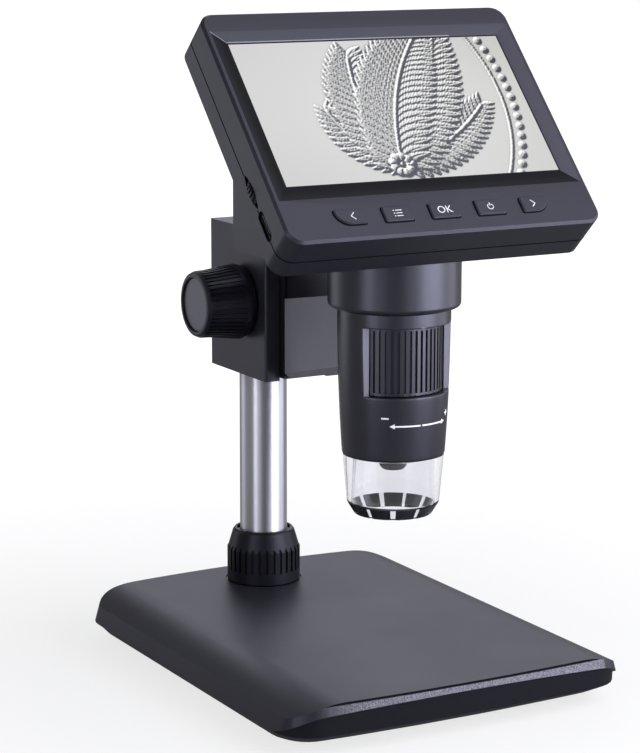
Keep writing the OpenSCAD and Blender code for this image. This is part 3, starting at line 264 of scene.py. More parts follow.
def speckled(name, color, rough, specular, noise_scale, noise_detail, dark, light):
    """A plain finish that shifts a little between two tones."""
    material, tree, shader = new_material(name)
    set_shader(shader, color, rough, specular)
    blend_colors(tree, object_noise(tree, noise_scale, noise_detail), dark, light, shader.inputs["Base Color"])
    return material


def clear_plastic():
    """Polished clear moulding with a faint haze."""
    material, tree, shader = new_material("clear_cap_plastic")
    set_shader(shader, (0.83, 0.835, 0.86), 0.03)
    plain_gloss(shader)
    shader.inputs["Transmission Weight"].default_value = 1.0
    shader.inputs["IOR"].default_value = 1.49
    vary(tree, object_noise(tree, 120), 0.01, 0.04, shader.inputs["Roughness"])
    return material


def lens_glass():
    material, tree, shader = new_material("coated_lens")
    set_shader(shader, (0.86, 0.90, 1.0), 0.02, 0.6)
    shader.inputs["Transmission Weight"].default_value = 0.9
    shader.inputs["IOR"].default_value = 1.52
    shader.inputs["Coat Weight"].default_value = 0.6
    shader.inputs["Coat Tint"].default_value = (0.6, 0.5, 1.0, 1)
    vary(tree, object_noise(tree, 700), 0.01, 0.05, shader.inputs["Roughness"])
    return material


def foil_pouch():
    material, tree, shader = new_material("battery_foil")
    set_shader(shader, (0.6, 0.62, 0.64), 0.4, 0.5, 0.8)
    add_bump(tree, shader, object_noise(tree, 160, 4.0), 0.4, 0.0004)
    return material


def screen_picture():
    """The lit picture glows by itself, in tones that are stored on its mesh."""
    material, tree, shader = new_material("screen_picture")
    set_shader(shader, (0.01, 0.01, 0.01), 0.12)
    tone = tree.nodes.new("ShaderNodeAttribute")
    tone.attribute_name = "relief_tone"
    silver = tree.nodes.new("ShaderNodeValToRGB")
    silver.color_ramp.elements[0].color = (0.006, 0.006, 0.006, 1)
    silver.color_ramp.elements[1].color = (1.0, 1.0, 0.985, 1)
    for stop, color in ((0.35, (0.08, 0.08, 0.076)), (0.62, (0.36, 0.36, 0.338)), (0.8, (0.62, 0.62, 0.59))):
        silver.color_ramp.elements.new(stop).color = (*color, 1)
    tree.links.new(tone.outputs["Fac"], silver.inputs["Fac"])
    tree.links.new(silver.outputs["Color"], shader.inputs["Emission Color"])
    shader.inputs["Emission Strength"].default_value = 1.0
    return material


WHITE_PRINT = speckled(
    "printed_white", (0.78, 0.78, 0.80), 0.5, 0.4, 3000, 2.0, (0.70, 0.70, 0.72), (0.86, 0.86, 0.88))
CLEAR = clear_plastic()
LENS = lens_glass()
BOARD = speckled(
    "circuit_board", (0.02, 0.14, 0.07), 0.35, 0.5, 500, 0.0, (0.015, 0.10, 0.05), (0.03, 0.18, 0.09))
FOIL = foil_pouch()
PHOSPHOR = speckled(
    "light_phosphor", (0.85, 0.80, 0.45), 0.45, 0.5, 4000, 2.0, (0.72, 0.66, 0.32), (0.92, 0.88, 0.58))
PICTURE = screen_picture()


# ---------- modelling helpers ----------

MERGE = 0.000001  # corners nearer than this are one
CAD_MERGE = 0.000002
FLAT_ANGLE = math.radians(0.4)
SHARP_ANGLE = math.radians(35)


def deselect_all():
    bpy.ops.object.select_all(action="DESELECT")


def activate(piece):
    deselect_all()
    piece.select_set(True)
    bpy.context.view_layer.objects.active = piece


def edit(piece):
    """Opens a piece in edit mode with all of it selected."""
    activate(piece)
    bpy.ops.object.mode_set(mode="EDIT")
    bpy.ops.mesh.select_all(action="SELECT")


def end_edit():
    bpy.ops.object.mode_set(mode="OBJECT")


def new_object(name, mesh):
    piece = bpy.data.objects.new(name, mesh)
    bpy.context.scene.collection.objects.link(piece)
    return piece


def mesh_piece(name, vertices, edges, faces):
    mesh = bpy.data.meshes.new(name)
    mesh.from_pydata(vertices, edges, faces)
    return new_object(name, mesh)


def apply_modifiers(piece):
    activate(piece)
    for modifier in list(piece.modifiers):
        bpy.ops.object.modifier_apply(modifier=modifier.name)


def break_edges(piece, width):
    """Rounds a piece's sharp edges; width is in millimetres."""
    bevel = piece.modifiers.new("broken_edges", "BEVEL")
    bevel.width = width * MM
    bevel.segments = 2
    bevel.limit_method = "ANGLE"
    bevel.angle_limit = SHARP_ANGLE
    apply_modifiers(piece)


def thicken(piece, thickness):
    """Gives a sheet thickness to both sides, in millimetres."""
    thick = piece.modifiers.new("thickness", "SOLIDIFY")
    thick.thickness = thickness * MM
    thick.offset = 0
    apply_modifiers(piece)


def finish(piece, body, materials, smooth=32, flat=False):
    """Settles a piece: its place goes into its mesh, then its smooth shading, its finishes and its body."""
    activate(piece)
    bpy.ops.object.transform_apply(location=True, rotation=True, scale=True)
    bpy.ops.object.shade_smooth_by_angle(angle=math.radians(smooth))
    if flat:
        even = piece.modifiers.new("flat_faces", "WEIGHTED_NORMAL")
        even.keep_sharp = True
        apply_modifiers(piece)
    for material in materials:
        piece.data.materials.append(material)
    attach(piece, body)
    return piece


def stand_in(piece, node, material, smooth=32, flat=False):
    """Finishes a piece and puts it in the place of a CAD node."""
    finish(piece, BODY_OF[node], [material], smooth, flat)
    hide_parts(node)
    return piece


def merged_copy(node, name, cut=None):
    """A copy of a CAD node with its triangles joined and its flats made whole; cut says what bisect takes off."""
    piece = new_object(name, frame["nodes"][node].data.copy())
    piece.data.materials.clear()
    edit(piece)
    bpy.ops.mesh.remove_doubles(threshold=CAD_MERGE)
    if cut:
        bpy.ops.mesh.bisect(use_fill=True, threshold=MERGE, **cut)
        bpy.ops.mesh.select_all(action="SELECT")
    bpy.ops.mesh.dissolve_limited(angle_limit=FLAT_ANGLE)
    end_edit()
    return piece


def skin(node, material, edge):
    """A finished copy of a CAD node: merged, its sharp edges broken, and smooth where it is round."""
    piece = merged_copy(node, node + "_skin")
    break_edges(piece, edge)
    return stand_in(piece, node, material, flat=True)


def dress(node, material):
    """Gives a CAD node a finish without a new mesh, where it is small or out of sight."""
    mesh = frame["nodes"][node].data
    mesh.materials.clear()
    mesh.materials.append(material)


def paint(piece, material, test, into=Matrix.Identity(4)):
    """Gives the faces that pass a test on centre and normal a second finish."""
    piece.data.materials.append(material)
    for face in piece.data.polygons:
        if test(into @ face.center, into.to_3x3() @ face.normal):
            face.material_index = len(piece.data.materials) - 1


# ---------- finishes of the CAD nodes ----------

# Node, finish, and how much of its edges is broken, in millimetres
SKINS = [
    ("base_cover", BASE_CHARCOAL, 0.25), ("base_tray", TRAY_BLACK, 0.3), ("base_feet", RUBBER, 0.3),
    ("pole_nut", NUT_BLACK, 0.12), ("pole_tube", ALUMINIUM, 0.2), ("pole_cap", BLACK, 0.1),
    ("bracket_block", CHARCOAL, 0.25), ("clamp_knob", BLACK, 0.2), ("knob_left", BLACK, 0.1),
    ("knob_right", BLACK, 0.1), ("knob_discs", DISC_GREY, 0.1), ("slide_bar", BLACK, 0.15),
    ("neck_collar", BARREL_CHARCOAL, 0.1), ("barrel_shell", BARREL_CHARCOAL, 0.2),
    ("focus_wheel", BARREL_CHARCOAL, 0.12), ("front_cover", CHARCOAL, 0.15), ("rear_cover", CHARCOAL, 0.2),
    ("key_previous", CHARCOAL, 0.2), ("key_menu", CHARCOAL, 0.2), ("key_ok", CHARCOAL, 0.2),
    ("key_power", CHARCOAL, 0.2), ("key_next", CHARCOAL, 0.2), ("dimmer_wheel", BLACK, 0.1),
]
DRESSED = {
    BLACK: ["pole_socket", "pole_collet", "barrel_ring", "lens_carrier"],
    STEEL: ["base_ballast", "base_screws", "socket_screws", "clamp_stud", "pinion_shaft", "rack_screws",
            "arm_screws", "neck_screws", "guide_pins", "head_screws", "board_screws", "lcd_frame",
            "key_switches", "usb_socket", "card_socket"],
    BRASS: ["shaft_bushes", "clamp_insert", "slide_rack"],
    BOARD: ["sensor_board", "main_board", "key_board"],
    WHITE_PRINT: ["led_board"],
    PHOSPHOR: ["leds"],
    LENS: ["front_lens"],
    FOIL: ["battery"],
    SCREEN_AND_SHADED_SLOPE_BLACK: ["lcd_screen"],
}

# The slopes round the screen, in the head's own frame
SLOPE_X = 52.7 * MM
SLOPE_Y = (-32.5 * MM, 31.0 * MM)
LEAN = 0.08  # least lean of a normal that counts as sideways
LOWER_EDGE = (-45.0 * MM, 49.5 * MM)  # below this Y, and nearer the middle than this X
WINDOW_LAND_Z = (100 * MM, 120 * MM)


def is_slope(centre, normal):
    return abs(centre.x) < SLOPE_X and SLOPE_Y[0] < centre.y < SLOPE_Y[1] and 0.5 < normal.z < 0.995


def is_shaded_slope(centre, normal):
    """The slopes left of and below the screen, which carry a painted dark reflection."""
    return is_slope(centre, normal) and (normal.x > LEAN or normal.y > LEAN)


def is_lit_slope(centre, normal):
    """The slopes right of and above the screen, which carry a painted highlight."""
    return is_slope(centre, normal) and (normal.x < -LEAN or normal.y < -LEAN)


def is_lower_edge(centre, normal):
    """The narrow broken edge below the keys, which carries a painted highlight."""
    below, half = LOWER_EDGE
    return centre.y < below and abs(centre.x) < half and centre.z > 0.0 and (
        -0.62 < normal.y < -LEAN and abs(normal.x) < 0.2)


def is_base_front(centre, normal):
    """The base cover's rounded front edge, without its corners, which carries the painted sparkle and painted shadow
    line.
    """
    return normal.y < -0.3 and normal.z > 0.12 and abs(normal.x) < 0.12


def is_window_land(centre, normal):
    """The flats on both sides of the focus wheel, which carry a painted highlight."""
    low, high = WINDOW_LAND_Z
    return normal.y < -0.97 and abs(normal.x) < 0.03 and low < centre.z < high


skins = {node: skin(node, material, edge) for node, material, edge in SKINS}
# Painted dark reflection on the slopes left of and below the screen
paint(skins["front_cover"], SCREEN_AND_SHADED_SLOPE_BLACK, is_shaded_slope, HEAD.inverted())
# Painted highlight on the slopes right of and above the screen
paint(skins["front_cover"], LIT_SLOPE_GREY, is_lit_slope, HEAD.inverted())
# Painted highlight along the broken edge below the keys
paint(skins["front_cover"], GLINT, is_lower_edge, HEAD.inverted())
# Painted sparkling highlight and painted shadow line on the base's front edge
paint(skins["base_cover"], EDGE_SPARKLE, is_base_front)
# Painted highlight on the flats beside the focus wheel
paint(skins["barrel_shell"], LIT_LAND_GREY, is_window_land)
for material, nodes in DRESSED.items():
    for node in nodes:
        dress(node, material)


# ---------- turned pieces below the barrel ----------

TURNING_STEPS = 160

# Outlines as (radius, height) in millimetres
CAP_OUTLINE = [
    (12.82, 80.25), (14.12, 80.25), (14.12, 77.25), (15.7, 77.25), (14.3, 61.85), (12.1, 58.25), (10.8, 58.25),
    (10.8, 59.15), (12.9, 62.25), (12.82, 76.25)]
CAP_CORNER = 0.3
NOSE_OUTLINE = [
    (5.98, 93), (5.98, 78.0), (5.7, 76.9), (5.3, 75.7), (4.8, 74.6), (4.2, 73.5), (3.5, 72.6), (3.1, 72.4),
    (3.1, 76.0), (4.02, 76.05), (4.02, 93)]

# The chamfer round the cap's foot is painted dark, a painted reflection, but for narrow gaps
RIM_Z = (58.3 * MM, 61.8 * MM)
RIM_R = 12.2 * MM
RIM_GAPS = 11
RIM_TURN = 2.71
RIM_GAP = -0.86


def turned(node, outline, material, smooth):
    """A smooth piece of revolution round the barrel's axis in place of a CAD node."""
    corners = [(r * MM, 0, z * MM) for r, z in outline]
    piece = mesh_piece(node + "_turned", corners, [(i, (i + 1) % len(corners)) for i in range(len(corners))], [])
    spin = piece.modifiers.new("turning", "SCREW")
    spin.steps = TURNING_STEPS
    spin.render_steps = TURNING_STEPS
    spin.use_merge_vertices = True
    spin.merge_threshold = MERGE
    apply_modifiers(piece)
    edit(piece)
    bpy.ops.mesh.normals_make_consistent(inside=False)
    end_edit()
    piece.location = (0, BARREL_Y, 0)
    return stand_in(piece, node, material, smooth)


def rounded(points, radius, steps=4):
    """Replaces each corner of a closed outline by a small curve."""
    curve = []
    for before, at, after in zip(points[-1:] + points[:-1], points, points[1:] + points[:1]):
        into, out = Vector(before) - Vector(at), Vector(after) - Vector(at)
        start = Vector(at) + into * min(0.45, radius / into.length)
        stop = Vector(at) + out * min(0.45, radius / out.length)
        for i in range(steps + 1):
            t = i / steps
            curve.append(tuple(start * (1 - t) ** 2 + Vector(at) * 2 * t * (1 - t) + stop * t * t))
    return curve


def is_rim_facet(centre, normal):
    """The stretches of the chamfer round the cap's foot that carry the painted dark reflection."""
    turn = math.atan2(centre.y - BARREL_Y, centre.x)
    on_chamfer = RIM_Z[0] < centre.z < RIM_Z[1] and normal.z < -0.2 and math.hypot(normal.x, normal.y) > 0.3
    return on_chamfer and math.hypot(centre.x, centre.y - BARREL_Y) > RIM_R and (
        math.sin(RIM_GAPS * turn + RIM_TURN) > RIM_GAP)


cap = turned("clear_cap", rounded(CAP_OUTLINE, CAP_CORNER), CLEAR, 50)
# Painted dark reflection on the cap's foot chamfer
paint(cap, RIM_PAINTED_DARK, is_rim_facet)
turned("lens_tube", NOSE_OUTLINE, NOSE_GREY, 60)


# ---------- the arm: a broad plate below, a slim dark neck above ----------

STEP_POINT = Vector((0, 23.6, 117.9)) * MM
STEP_NORMAL = Vector((0, 0.178, 0.984))


def arm_part(name, material, below, slim):
    """Half of the arm, cut along the slanting line where its broad plate ends; slim is its share of the width."""
    piece = merged_copy("arm_body", name, {
        "plane_co": STEP_POINT, "plane_no": STEP_NORMAL, "clear_outer": below, "clear_inner": not below})
    piece.scale = (slim, 1, 1)
    bpy.ops.object.transform_apply(scale=True)
    break_edges(piece, 0.15)
    stand_in(piece, "arm_body", material, flat=True)


arm_part("arm_plate", ARM_GREY, True, 1.0)
arm_part("arm_neck", BLACK, False, 0.90)


# ---------- the lit picture ----------

PICTURE_W = 94.3 * MM
PICTURE_H = 53.1 * MM
PICTURE_COLUMNS = 400
PICTURE_ROWS = 225
PICTURE_Z = -0.1 * MM

# The relief's drawing, in millimetres of picture from its middle
HALF_U, HALF_V = 47.1, 26.5
ROOT = (-6, -21)
# Each frond: heading and turn in degrees, length, spread, pairs of leaflets, and how high it lies
FAN = [
    (150, -46, 30, 9, 15, 0.4), (16, 30, 44, 11, 19, 0.4), (112, -40, 44, 14, 19, 1.0),
    (48, 22, 58, 15, 25, 1.4), (80, -34, 56, 17, 23, 2.0),
]
BERRIES = 9
BERRY_RING = 2.9
RIM_CENTRE = (-22, 6)
RIM_LINE = 61.0
BEAD_RING = 64.4
BEAD_STEP = math.radians(3.4)


def leaflet(height, u, v, x, y, angle, length, width, layer):
    """Lays one veined leaflet over the relief."""
    along = (u - x) * math.cos(angle) + (v - y) * math.sin(angle)
    across = (v - y) * math.cos(angle) - (u - x) * math.sin(angle)
    s = np.clip(along / length, 0, 1)
    bend = across - 0.07 * length * np.sin(math.pi * s)
    half = width * np.sin(math.pi * s ** 0.7) ** 0.75 * (1 - 0.10 * np.abs(np.sin(along * 2.1))) + 1e-6
    t = np.abs(bend) / half
    barb = np.sin((along - 1.1 * np.abs(bend)) * 5.2)
    vein = np.exp(-((bend / 0.22) ** 2))
    form = 0.75 * (1 - t ** 2) + 0.13 * barb * np.sqrt(np.clip(t, 0, 1)) - 0.35 * vein
    inside = (along > 0) & (along < length) & (t < 1)
    return np.where(inside, layer + form + 0.35 * s, height)


def frond(height, u, v, root, heading, turn, length, spread, count, layer):
    """A fern frond: pairs of leaflets along a curved stem, laid from its tip back to its root."""
    places = []
    x, y, angle = root[0], root[1], heading
    for k in range(count):
        places.append((x, y, angle, k / (count - 1)))
        x += length / count * math.cos(angle)
        y += length / count * math.sin(angle)
        angle += turn / count
    for x, y, angle, s in reversed(places):
        size = spread * (0.35 + 0.65 * math.sin(math.pi * (0.18 + 0.75 * s)))
        for side in (-1, 1):
            lean = math.radians(62 - 26 * s) * side
            height = leaflet(height, u, v, x, y, angle + lean, size, size * 0.17, layer + 0.9 * (1 - s))
    for (x0, y0, _, _), (x1, y1, _, _) in zip(places, places[1:]):
        run = math.hypot(x1 - x0, y1 - y0)
        t = np.clip(((u - x0) * (x1 - x0) + (v - y0) * (y1 - y0)) / run ** 2, 0, 1)
        far = np.hypot(u - x0 - t * (x1 - x0), v - y0 - t * (y1 - y0))
        height = np.where(far < 0.6, layer + 2.2 - 1.6 * far ** 2, height)
    return height


def berries(height, u, v):
    """A ring of berries over the fronds' root."""
    for k in range(BERRIES):
        x, y = ROOT[0] + BERRY_RING * math.cos(k * 0.698), ROOT[1] + BERRY_RING * math.sin(k * 0.698)
        far = np.hypot(u - x, v - y)
        height = np.where(far < 1.6, 4.2 + np.sqrt(np.maximum(0, 2.7 - far ** 2)), height)
    return height


def beaded_rim(height, u, v):
    """A raised line and a row of beads that run round far to the right."""
    out = np.hypot(u - RIM_CENTRE[0], v - RIM_CENTRE[1])
    height = np.maximum(height, np.where(np.abs(out - RIM_LINE) < 0.45, 0.6, -1))
    turn = np.arctan2(v - RIM_CENTRE[1], u - RIM_CENTRE[0])
    far = np.hypot((turn / BEAD_STEP - np.round(turn / BEAD_STEP)) * BEAD_STEP * BEAD_RING, out - BEAD_RING)
    return np.maximum(height, np.where(far < 1.35, np.sqrt(np.maximum(0, 1.9 - far ** 2)), -1))


def relief(u, v):
    """A coin-like relief: fern fronds fanned out from one root, a cluster of berries and a beaded rim."""
    height = np.zeros_like(u)
    for heading, turn, length, spread, count, layer in FAN:
        height = frond(height, u, v, ROOT, math.radians(heading), math.radians(turn), length, spread, count, layer)
    return beaded_rim(berries(height, u, v), u, v)


def smoothed(values, passes):
    for _ in range(passes):
        padded = np.pad(values, 1, mode="edge")
        values = (padded[:-2, 1:-1] + padded[2:, 1:-1] + padded[1:-1, :-2] + padded[1:-1, 2:] + 2 * values) / 6
    return values


def relief_tones(columns, rows):
    """Light and shade of polished silver over the relief, from 0 to 1."""
    u, v = np.meshgrid(np.linspace(-HALF_U, HALF_U, columns), np.linspace(-HALF_V, HALF_V, rows))
    step = 2 * HALF_U / (columns - 1)
    height = smoothed(relief(u, v), 1)
    height = height + 0.10 * smoothed(rng.standard_normal(height.shape), 1) * (height > 0.5)
    slope_v, slope_u = np.gradient(height, step)
    steep = np.hypot(slope_u, slope_v)
    lit = (0.60 * slope_u - 0.80 * slope_v) / np.sqrt(1 + steep ** 2)
    hollow = smoothed(height, 8) - height
    tone = 0.77 + 0.55 * lit - 0.95 * np.clip(hollow, 0, 1.0) - 1.1 * np.clip(-lit - 0.10, 0, 1)
    tone -= 0.13 * (height > 0.5)
    tone += 0.02 * np.sin(u * 0.05 + 1.4) + 0.02 * np.cos(v * 0.07)
    return np.clip(tone, 0.02, 1.0)


def picture():
    deselect_all()
    bpy.ops.mesh.primitive_grid_add(x_subdivisions=PICTURE_COLUMNS - 1, y_subdivisions=PICTURE_ROWS - 1, size=1)
    piece = bpy.context.object
    piece.name = "lit_picture"
    piece.scale = (PICTURE_W, PICTURE_H, 1)
    activate(piece)
    bpy.ops.object.transform_apply(scale=True)
    tones = relief_tones(PICTURE_COLUMNS, PICTURE_ROWS)
    places = np.array([v.co[:2] for v in piece.data.vertices])
    column = np.rint((places[:, 0] / PICTURE_W + 0.5) * (PICTURE_COLUMNS - 1)).astype(int)
    row = np.rint((places[:, 1] / PICTURE_H + 0.5) * (PICTURE_ROWS - 1)).astype(int)
    stored = piece.data.attributes.new("relief_tone", "FLOAT", "POINT")
    stored.data.foreach_set("value", tones[row, column].astype(np.float32))
    piece.matrix_world = HEAD @ Matrix.Translation((0, 0, PICTURE_Z))
    finish(piece, "head", [PICTURE])


picture()


# ---------- flat polygons ----------


def bar(x0, y0, x1, y1, width):
    """Corners of a straight bar."""
    run = Vector((x1 - x0, y1 - y0))
    side = Vector((-run.y, run.x)).normalized() * width / 2
    return [(x0 + side.x, y0 + side.y), (x0 - side.x, y0 - side.y),
            (x1 - side.x, y1 - side.y), (x1 + side.x, y1 + side.y)]


def strip(outer, inner):
    """Quads between two lines of as many points."""
    return [[outer[i], outer[i + 1], inner[i + 1], inner[i]] for i in range(len(outer) - 1)]


def arc(x, y, radius, start, stop, count):
    """Points along an arc, angles in degrees."""
    turns = [math.radians(start + (stop - start) * i / count) for i in range(count + 1)]
    return [(x + radius * math.cos(a), y + radius * math.sin(a)) for a in turns]


def polygon_faces(polygons, place):
    """Corners and faces of polygons that share none, each point set in space by place."""
    vertices, faces = [], []
    for polygon in polygons:
        faces.append(tuple(range(len(vertices), len(vertices) + len(polygon))))
        vertices += [place(*point) for point in polygon]
    return vertices, faces


def thin_piece(name, polygons, thickness, body, material, place):
    """Flat polygons in millimetres, merged where they touch, given thickness and laid at place."""
    vertices, faces = polygon_faces(polygons, lambda x, y: (x * MM, y * MM, 0))
    piece = mesh_piece(name, vertices, [], faces)
    edit(piece)
    bpy.ops.mesh.remove_doubles(threshold=MERGE)
    bpy.ops.mesh.normals_make_consistent(inside=False)
    end_edit()
    thicken(piece, thickness)
    piece.matrix_world = place
    finish(piece, body, [material], 30, flat=True)


# ---------- printed signs on the keys ----------

INK = 0.06
LINE = 0.27
KEY_TOP = FACE_Z + 0.8 * MM
KEY_Y = (-4.64 - 85.24 / 2 + 7.6) * MM
KEY_PITCH = 15.9 * MM


def key_place(index):
    """The middle of a key's top; the middle key is number 2."""
    return HEAD @ Matrix.Translation(((index - 2) * KEY_PITCH, KEY_Y, KEY_TOP))


def printed(name, polygons, body, index):
    thin_piece(name, polygons, INK, body, WHITE_PRINT, key_place(index))


def word_sign():
    deselect_all()
    bpy.ops.object.text_add()
    word = bpy.context.object
    word.name = "sign_ok"
    word.data.body = "OK"
    word.data.size = 3.5 * MM
    word.data.align_x = "CENTER"
    word.data.align_y = "CENTER"
    word.data.extrude = INK * MM / 2
    word.data.resolution_u = 4
    activate(word)
    bpy.ops.object.convert(target="MESH")
    word = bpy.context.object
    word.matrix_world = key_place(2)
    finish(word, "key_ok", [WHITE_PRINT], 20)


def key_signs():
    printed("sign_previous", [bar(1.45, 1.3, 0.15, 0.05, LINE), bar(0.15, 0.12, 1.45, -1.15, LINE)],
            "key_previous", 0)
    rows = []
    for y in (1.0, 0.0, -1.0):
        rows += [bar(-0.7, y, 1.4, y, LINE), bar(-1.5, y, -1.1, y, LINE * 1.25)]
    printed("sign_menu", rows, "key_menu", 1)
    radius, half = 0.95, LINE * 0.9 / 2
    circle = strip(arc(0, 0, radius + half, 118, 422, 18), arc(0, 0, radius - half, 118, 422, 18))
    printed("sign_power", circle + [bar(0, 0.35, 0, 1.4, LINE)], "key_power", 3)
    printed("sign_next", [bar(-1.35, 1.3, -0.05, 0.05, LINE), bar(-0.05, 0.12, -1.35, -1.15, LINE)],
            "key_next", 4)
    word_sign()


# ---------- the focus legend round the barrel ----------

# The barrel draws in from its top radius to its foot along a parabola, in millimetres
BARREL_TOP_R = 17.5
BARREL_DRAW_IN = 1.6
BARREL_TOP_Z = 122.95
BARREL_LENGTH = 45.6
INK_LIFT = 0.02


def on_barrel(turn, z):
    """A point on the barrel's wall, by degrees round it and millimetres of height."""
    radius = (BARREL_TOP_R - BARREL_DRAW_IN * ((BARREL_TOP_Z - z) / BARREL_LENGTH) ** 2 + INK_LIFT) * MM
    a = math.radians(turn)
    return radius * math.cos(a), BARREL_Y + radius * math.sin(a), z * MM


def barrel_print(name, shapes):
    vertices, faces = polygon_faces(shapes, on_barrel)
    piece = mesh_piece(name, vertices, [], faces)
    thicken(piece, INK)
    finish(piece, "head", [WHITE_PRINT], 30)


def band(start, stop, low, high):
    """A line round the barrel, in pieces of about 3 degrees."""
    steps = max(1, int(abs(stop - start) / 3))
    turns = [start + (stop - start) * i / steps for i in range(steps + 1)]
    return strip([(t, high) for t in turns], [(t, low) for t in turns])


def focus_legend():
    """Minus, double-ended arrow and plus, printed round the barrel below the focus wheel."""
    barrel_print("legend_minus", band(-133.6, -125.6, 90.8, 91.3))
    barrel_print("legend_plus", band(-50.0, -48.2, 89.95, 91.9) + band(-52.6, -50.0, 90.7, 91.2)
                 + band(-48.2, -45.6, 90.7, 91.2))
    shaft = band(-119.2, -91.0, 88.36, 88.86) + band(-88.8, -59.5, 88.36, 88.86)
    heads = [[(-119.2, 87.8), (-119.2, 89.45), (-124.8, 88.62)], [(-59.5, 89.4), (-59.5, 87.85), (-53.4, 88.62)]]
    barrel_print("legend_arrow", shaft + heads)


key_signs()
focus_legend()


# ---------- painted highlight lines above the screen ---

MITRE_FOOT = Vector((-47.5, 26.95, 0.05))
MITRE_HEAD = Vector((-52.2, 30.75, 1.0))


def screen_highlight_lines():
    """Painted highlight lines where the slopes meet above the screen."""
    thin_piece("screen_top_glint", [bar(-47.4, 27.15, 30.0, 27.15, 0.36)], 0.12, "head", GLINT,
               HEAD @ Matrix.Translation((0, 0, 0.12 * MM)))
    along = (MITRE_HEAD - MITRE_FOOT).normalized()
    side = along.cross(Vector((0.2, 0.2, 1))).normalized() * 0.16
    lift = side.cross(along).normalized() * 0.06
    if lift.z < 0:
        lift = -lift
    corners = [MITRE_FOOT + side + lift, MITRE_HEAD + side + lift, MITRE_HEAD - side + lift, MITRE_FOOT - side + lift]
    piece = mesh_piece("screen_mitre_glint", [c * MM for c in corners], [], [(0, 1, 2, 3)])
    thicken(piece, 0.1)
    piece.matrix_world = HEAD
    finish(piece, "head", [GLINT], 30, flat=True)


screen_highlight_lines()


# ---------- openings and seam in the head's sides, in millimetres ----------

HALF_W = 53.88
HEAD_TOP = 37.98
HEAD_FOOT = -47.26
CORNER_R = 5.0
SEAM_Z = -8.575
SIDE_PLANE = Matrix(((0, 0, 1, 0), (1, 0, 0, 0), (0, 1, 0, 0), (0, 0, 0, 1)))


def left_wall(depth):
    """Local X runs up the head, local Y towards the viewer; depth is inside the left wall."""
    return HEAD @ Matrix.Translation(((-HALF_W + depth) * MM, 0, 0)) @ SIDE_PLANE


def dimmer_surround():
    """Closes the dimmer's square opening down to a spindle shape."""
    middle, half_l, half_h, seam = -21.8, 6.2, 1.6, -8.2
    turns = [-1 + i / 10 for i in range(21)]
    for name, side in (("dimmer_edge_front", 1), ("dimmer_edge_rear", -1)):
        edge = [(middle + half_l * t, seam + side * (half_h + 0.02)) for t in turns]
        lens = [(middle + half_l * t, seam + side * half_h * (1 - t * t) ** 0.8) for t in turns]
        thin_piece(name, strip(edge, lens), 0.5, "head", CHARCOAL, left_wall(0.27))


def stadium(x, y, half_l, half_w):
    """A closed outline with two round ends."""
    reach = half_l - half_w
    points = arc(x + reach, y, half_w, -90, 90, 12) + arc(x - reach, y, half_w, 90, 270, 12)
    return points + points[:1]


def socket_surround():
    """Black rim round the power socket, with a lighter edge before it."""
    rim = strip(stadium(-34.2, -8.25, 5.1, 1.7), stadium(-34.2, -8.25, 4.2, 1.2))
    thin_piece("socket_rim", rim, 0.5, "head", SEAM_BLACK, left_wall(0.24))
    thin_piece("socket_edge", [bar(-37.6, -7.15, -30.8, -7.15, 0.28)], 0.3, "head", ARM_GREY,
               left_wall(0.2))


def outward(x, y):
    """Direction out of the head at a point of its outline."""
    if abs(abs(x) - HALF_W) < 1e-6:
        return math.copysign(1, x), 0
    if abs(y - HEAD_TOP) < 1e-6 or abs(y - HEAD_FOOT) < 1e-6:
        return 0, math.copysign(1, y - (HEAD_TOP + HEAD_FOOT) / 2)
    cx = max(-HALF_W + CORNER_R, min(HALF_W - CORNER_R, x))
    cy = max(HEAD_FOOT + CORNER_R, min(HEAD_TOP - CORNER_R, y))
    far = math.hypot(x - cx, y - cy)
    return (x - cx) / far, (y - cy) / far


def cover_seam():
    """Dark line in the joint between the head's two covers, open where the openings are."""
    left, right = -HALF_W + CORNER_R, HALF_W - CORNER_R
    top, foot = HEAD_TOP - CORNER_R, HEAD_FOOT + CORNER_R
    runs = [
        [(-HALF_W, -15.5)] + arc(left, top, CORNER_R, 90, 180, 12)[::-1] + arc(right, top, CORNER_R, 0, 90, 12)[::-1]
        + [(HALF_W, -15.6)],
        [(HALF_W, -28.4)] + arc(right, foot, CORNER_R, -90, 0, 12)[::-1]
        + arc(left, foot, CORNER_R, 180, 270, 12)[::-1] + [(-HALF_W, -39.4)],
        [(-HALF_W, -29.0), (-HALF_W, -28.1)],
    ]
    lines = []
    for run in runs:
        outer, inner = [], []
        for x, y in run:
            nx, ny = outward(x, y)
            outer.append((x + 0.03 * nx, y + 0.03 * ny))
            inner.append((x - 0.3 * nx, y - 0.3 * ny))
        lines += strip(outer, inner)
    thin_piece("cover_seam", lines, 0.42, "head", SEAM_BLACK,
               HEAD @ Matrix.Translation((0, 0, SEAM_Z * MM)))


dimmer_surround()
socket_surround()
cover_seam()


# ---------- camera ----------

CAMERA_FROM_SCREEN = Vector((-389.25, -653.945, 66.735)) * MM
CAMERA_LENS = 120.58
CAMERA_YAW = -29.053
CAMERA_PITCH = -11.097
CAMERA_ROLL = 0.095


def camera():
    data = bpy.data.cameras.new("camera")
    data.lens = CAMERA_LENS
    data.sensor_width = 36.0
    data.clip_start = 0.05
    data.clip_end = 50
    view = new_object("camera", data)
    view.location = SCREEN_CENTRE + CAMERA_FROM_SCREEN
    yaw = Matrix.Rotation(math.radians(CAMERA_YAW), 4, "Z")
    pitch = Matrix.Rotation(math.radians(90 + CAMERA_PITCH), 4, "X")
    roll = Matrix.Rotation(math.radians(CAMERA_ROLL), 4, "Z")
    view.rotation_euler = (yaw @ pitch @ roll).to_euler()
    bpy.context.scene.camera = view


# ---------- floor and world ----------

FLOOR_SIZE = 16
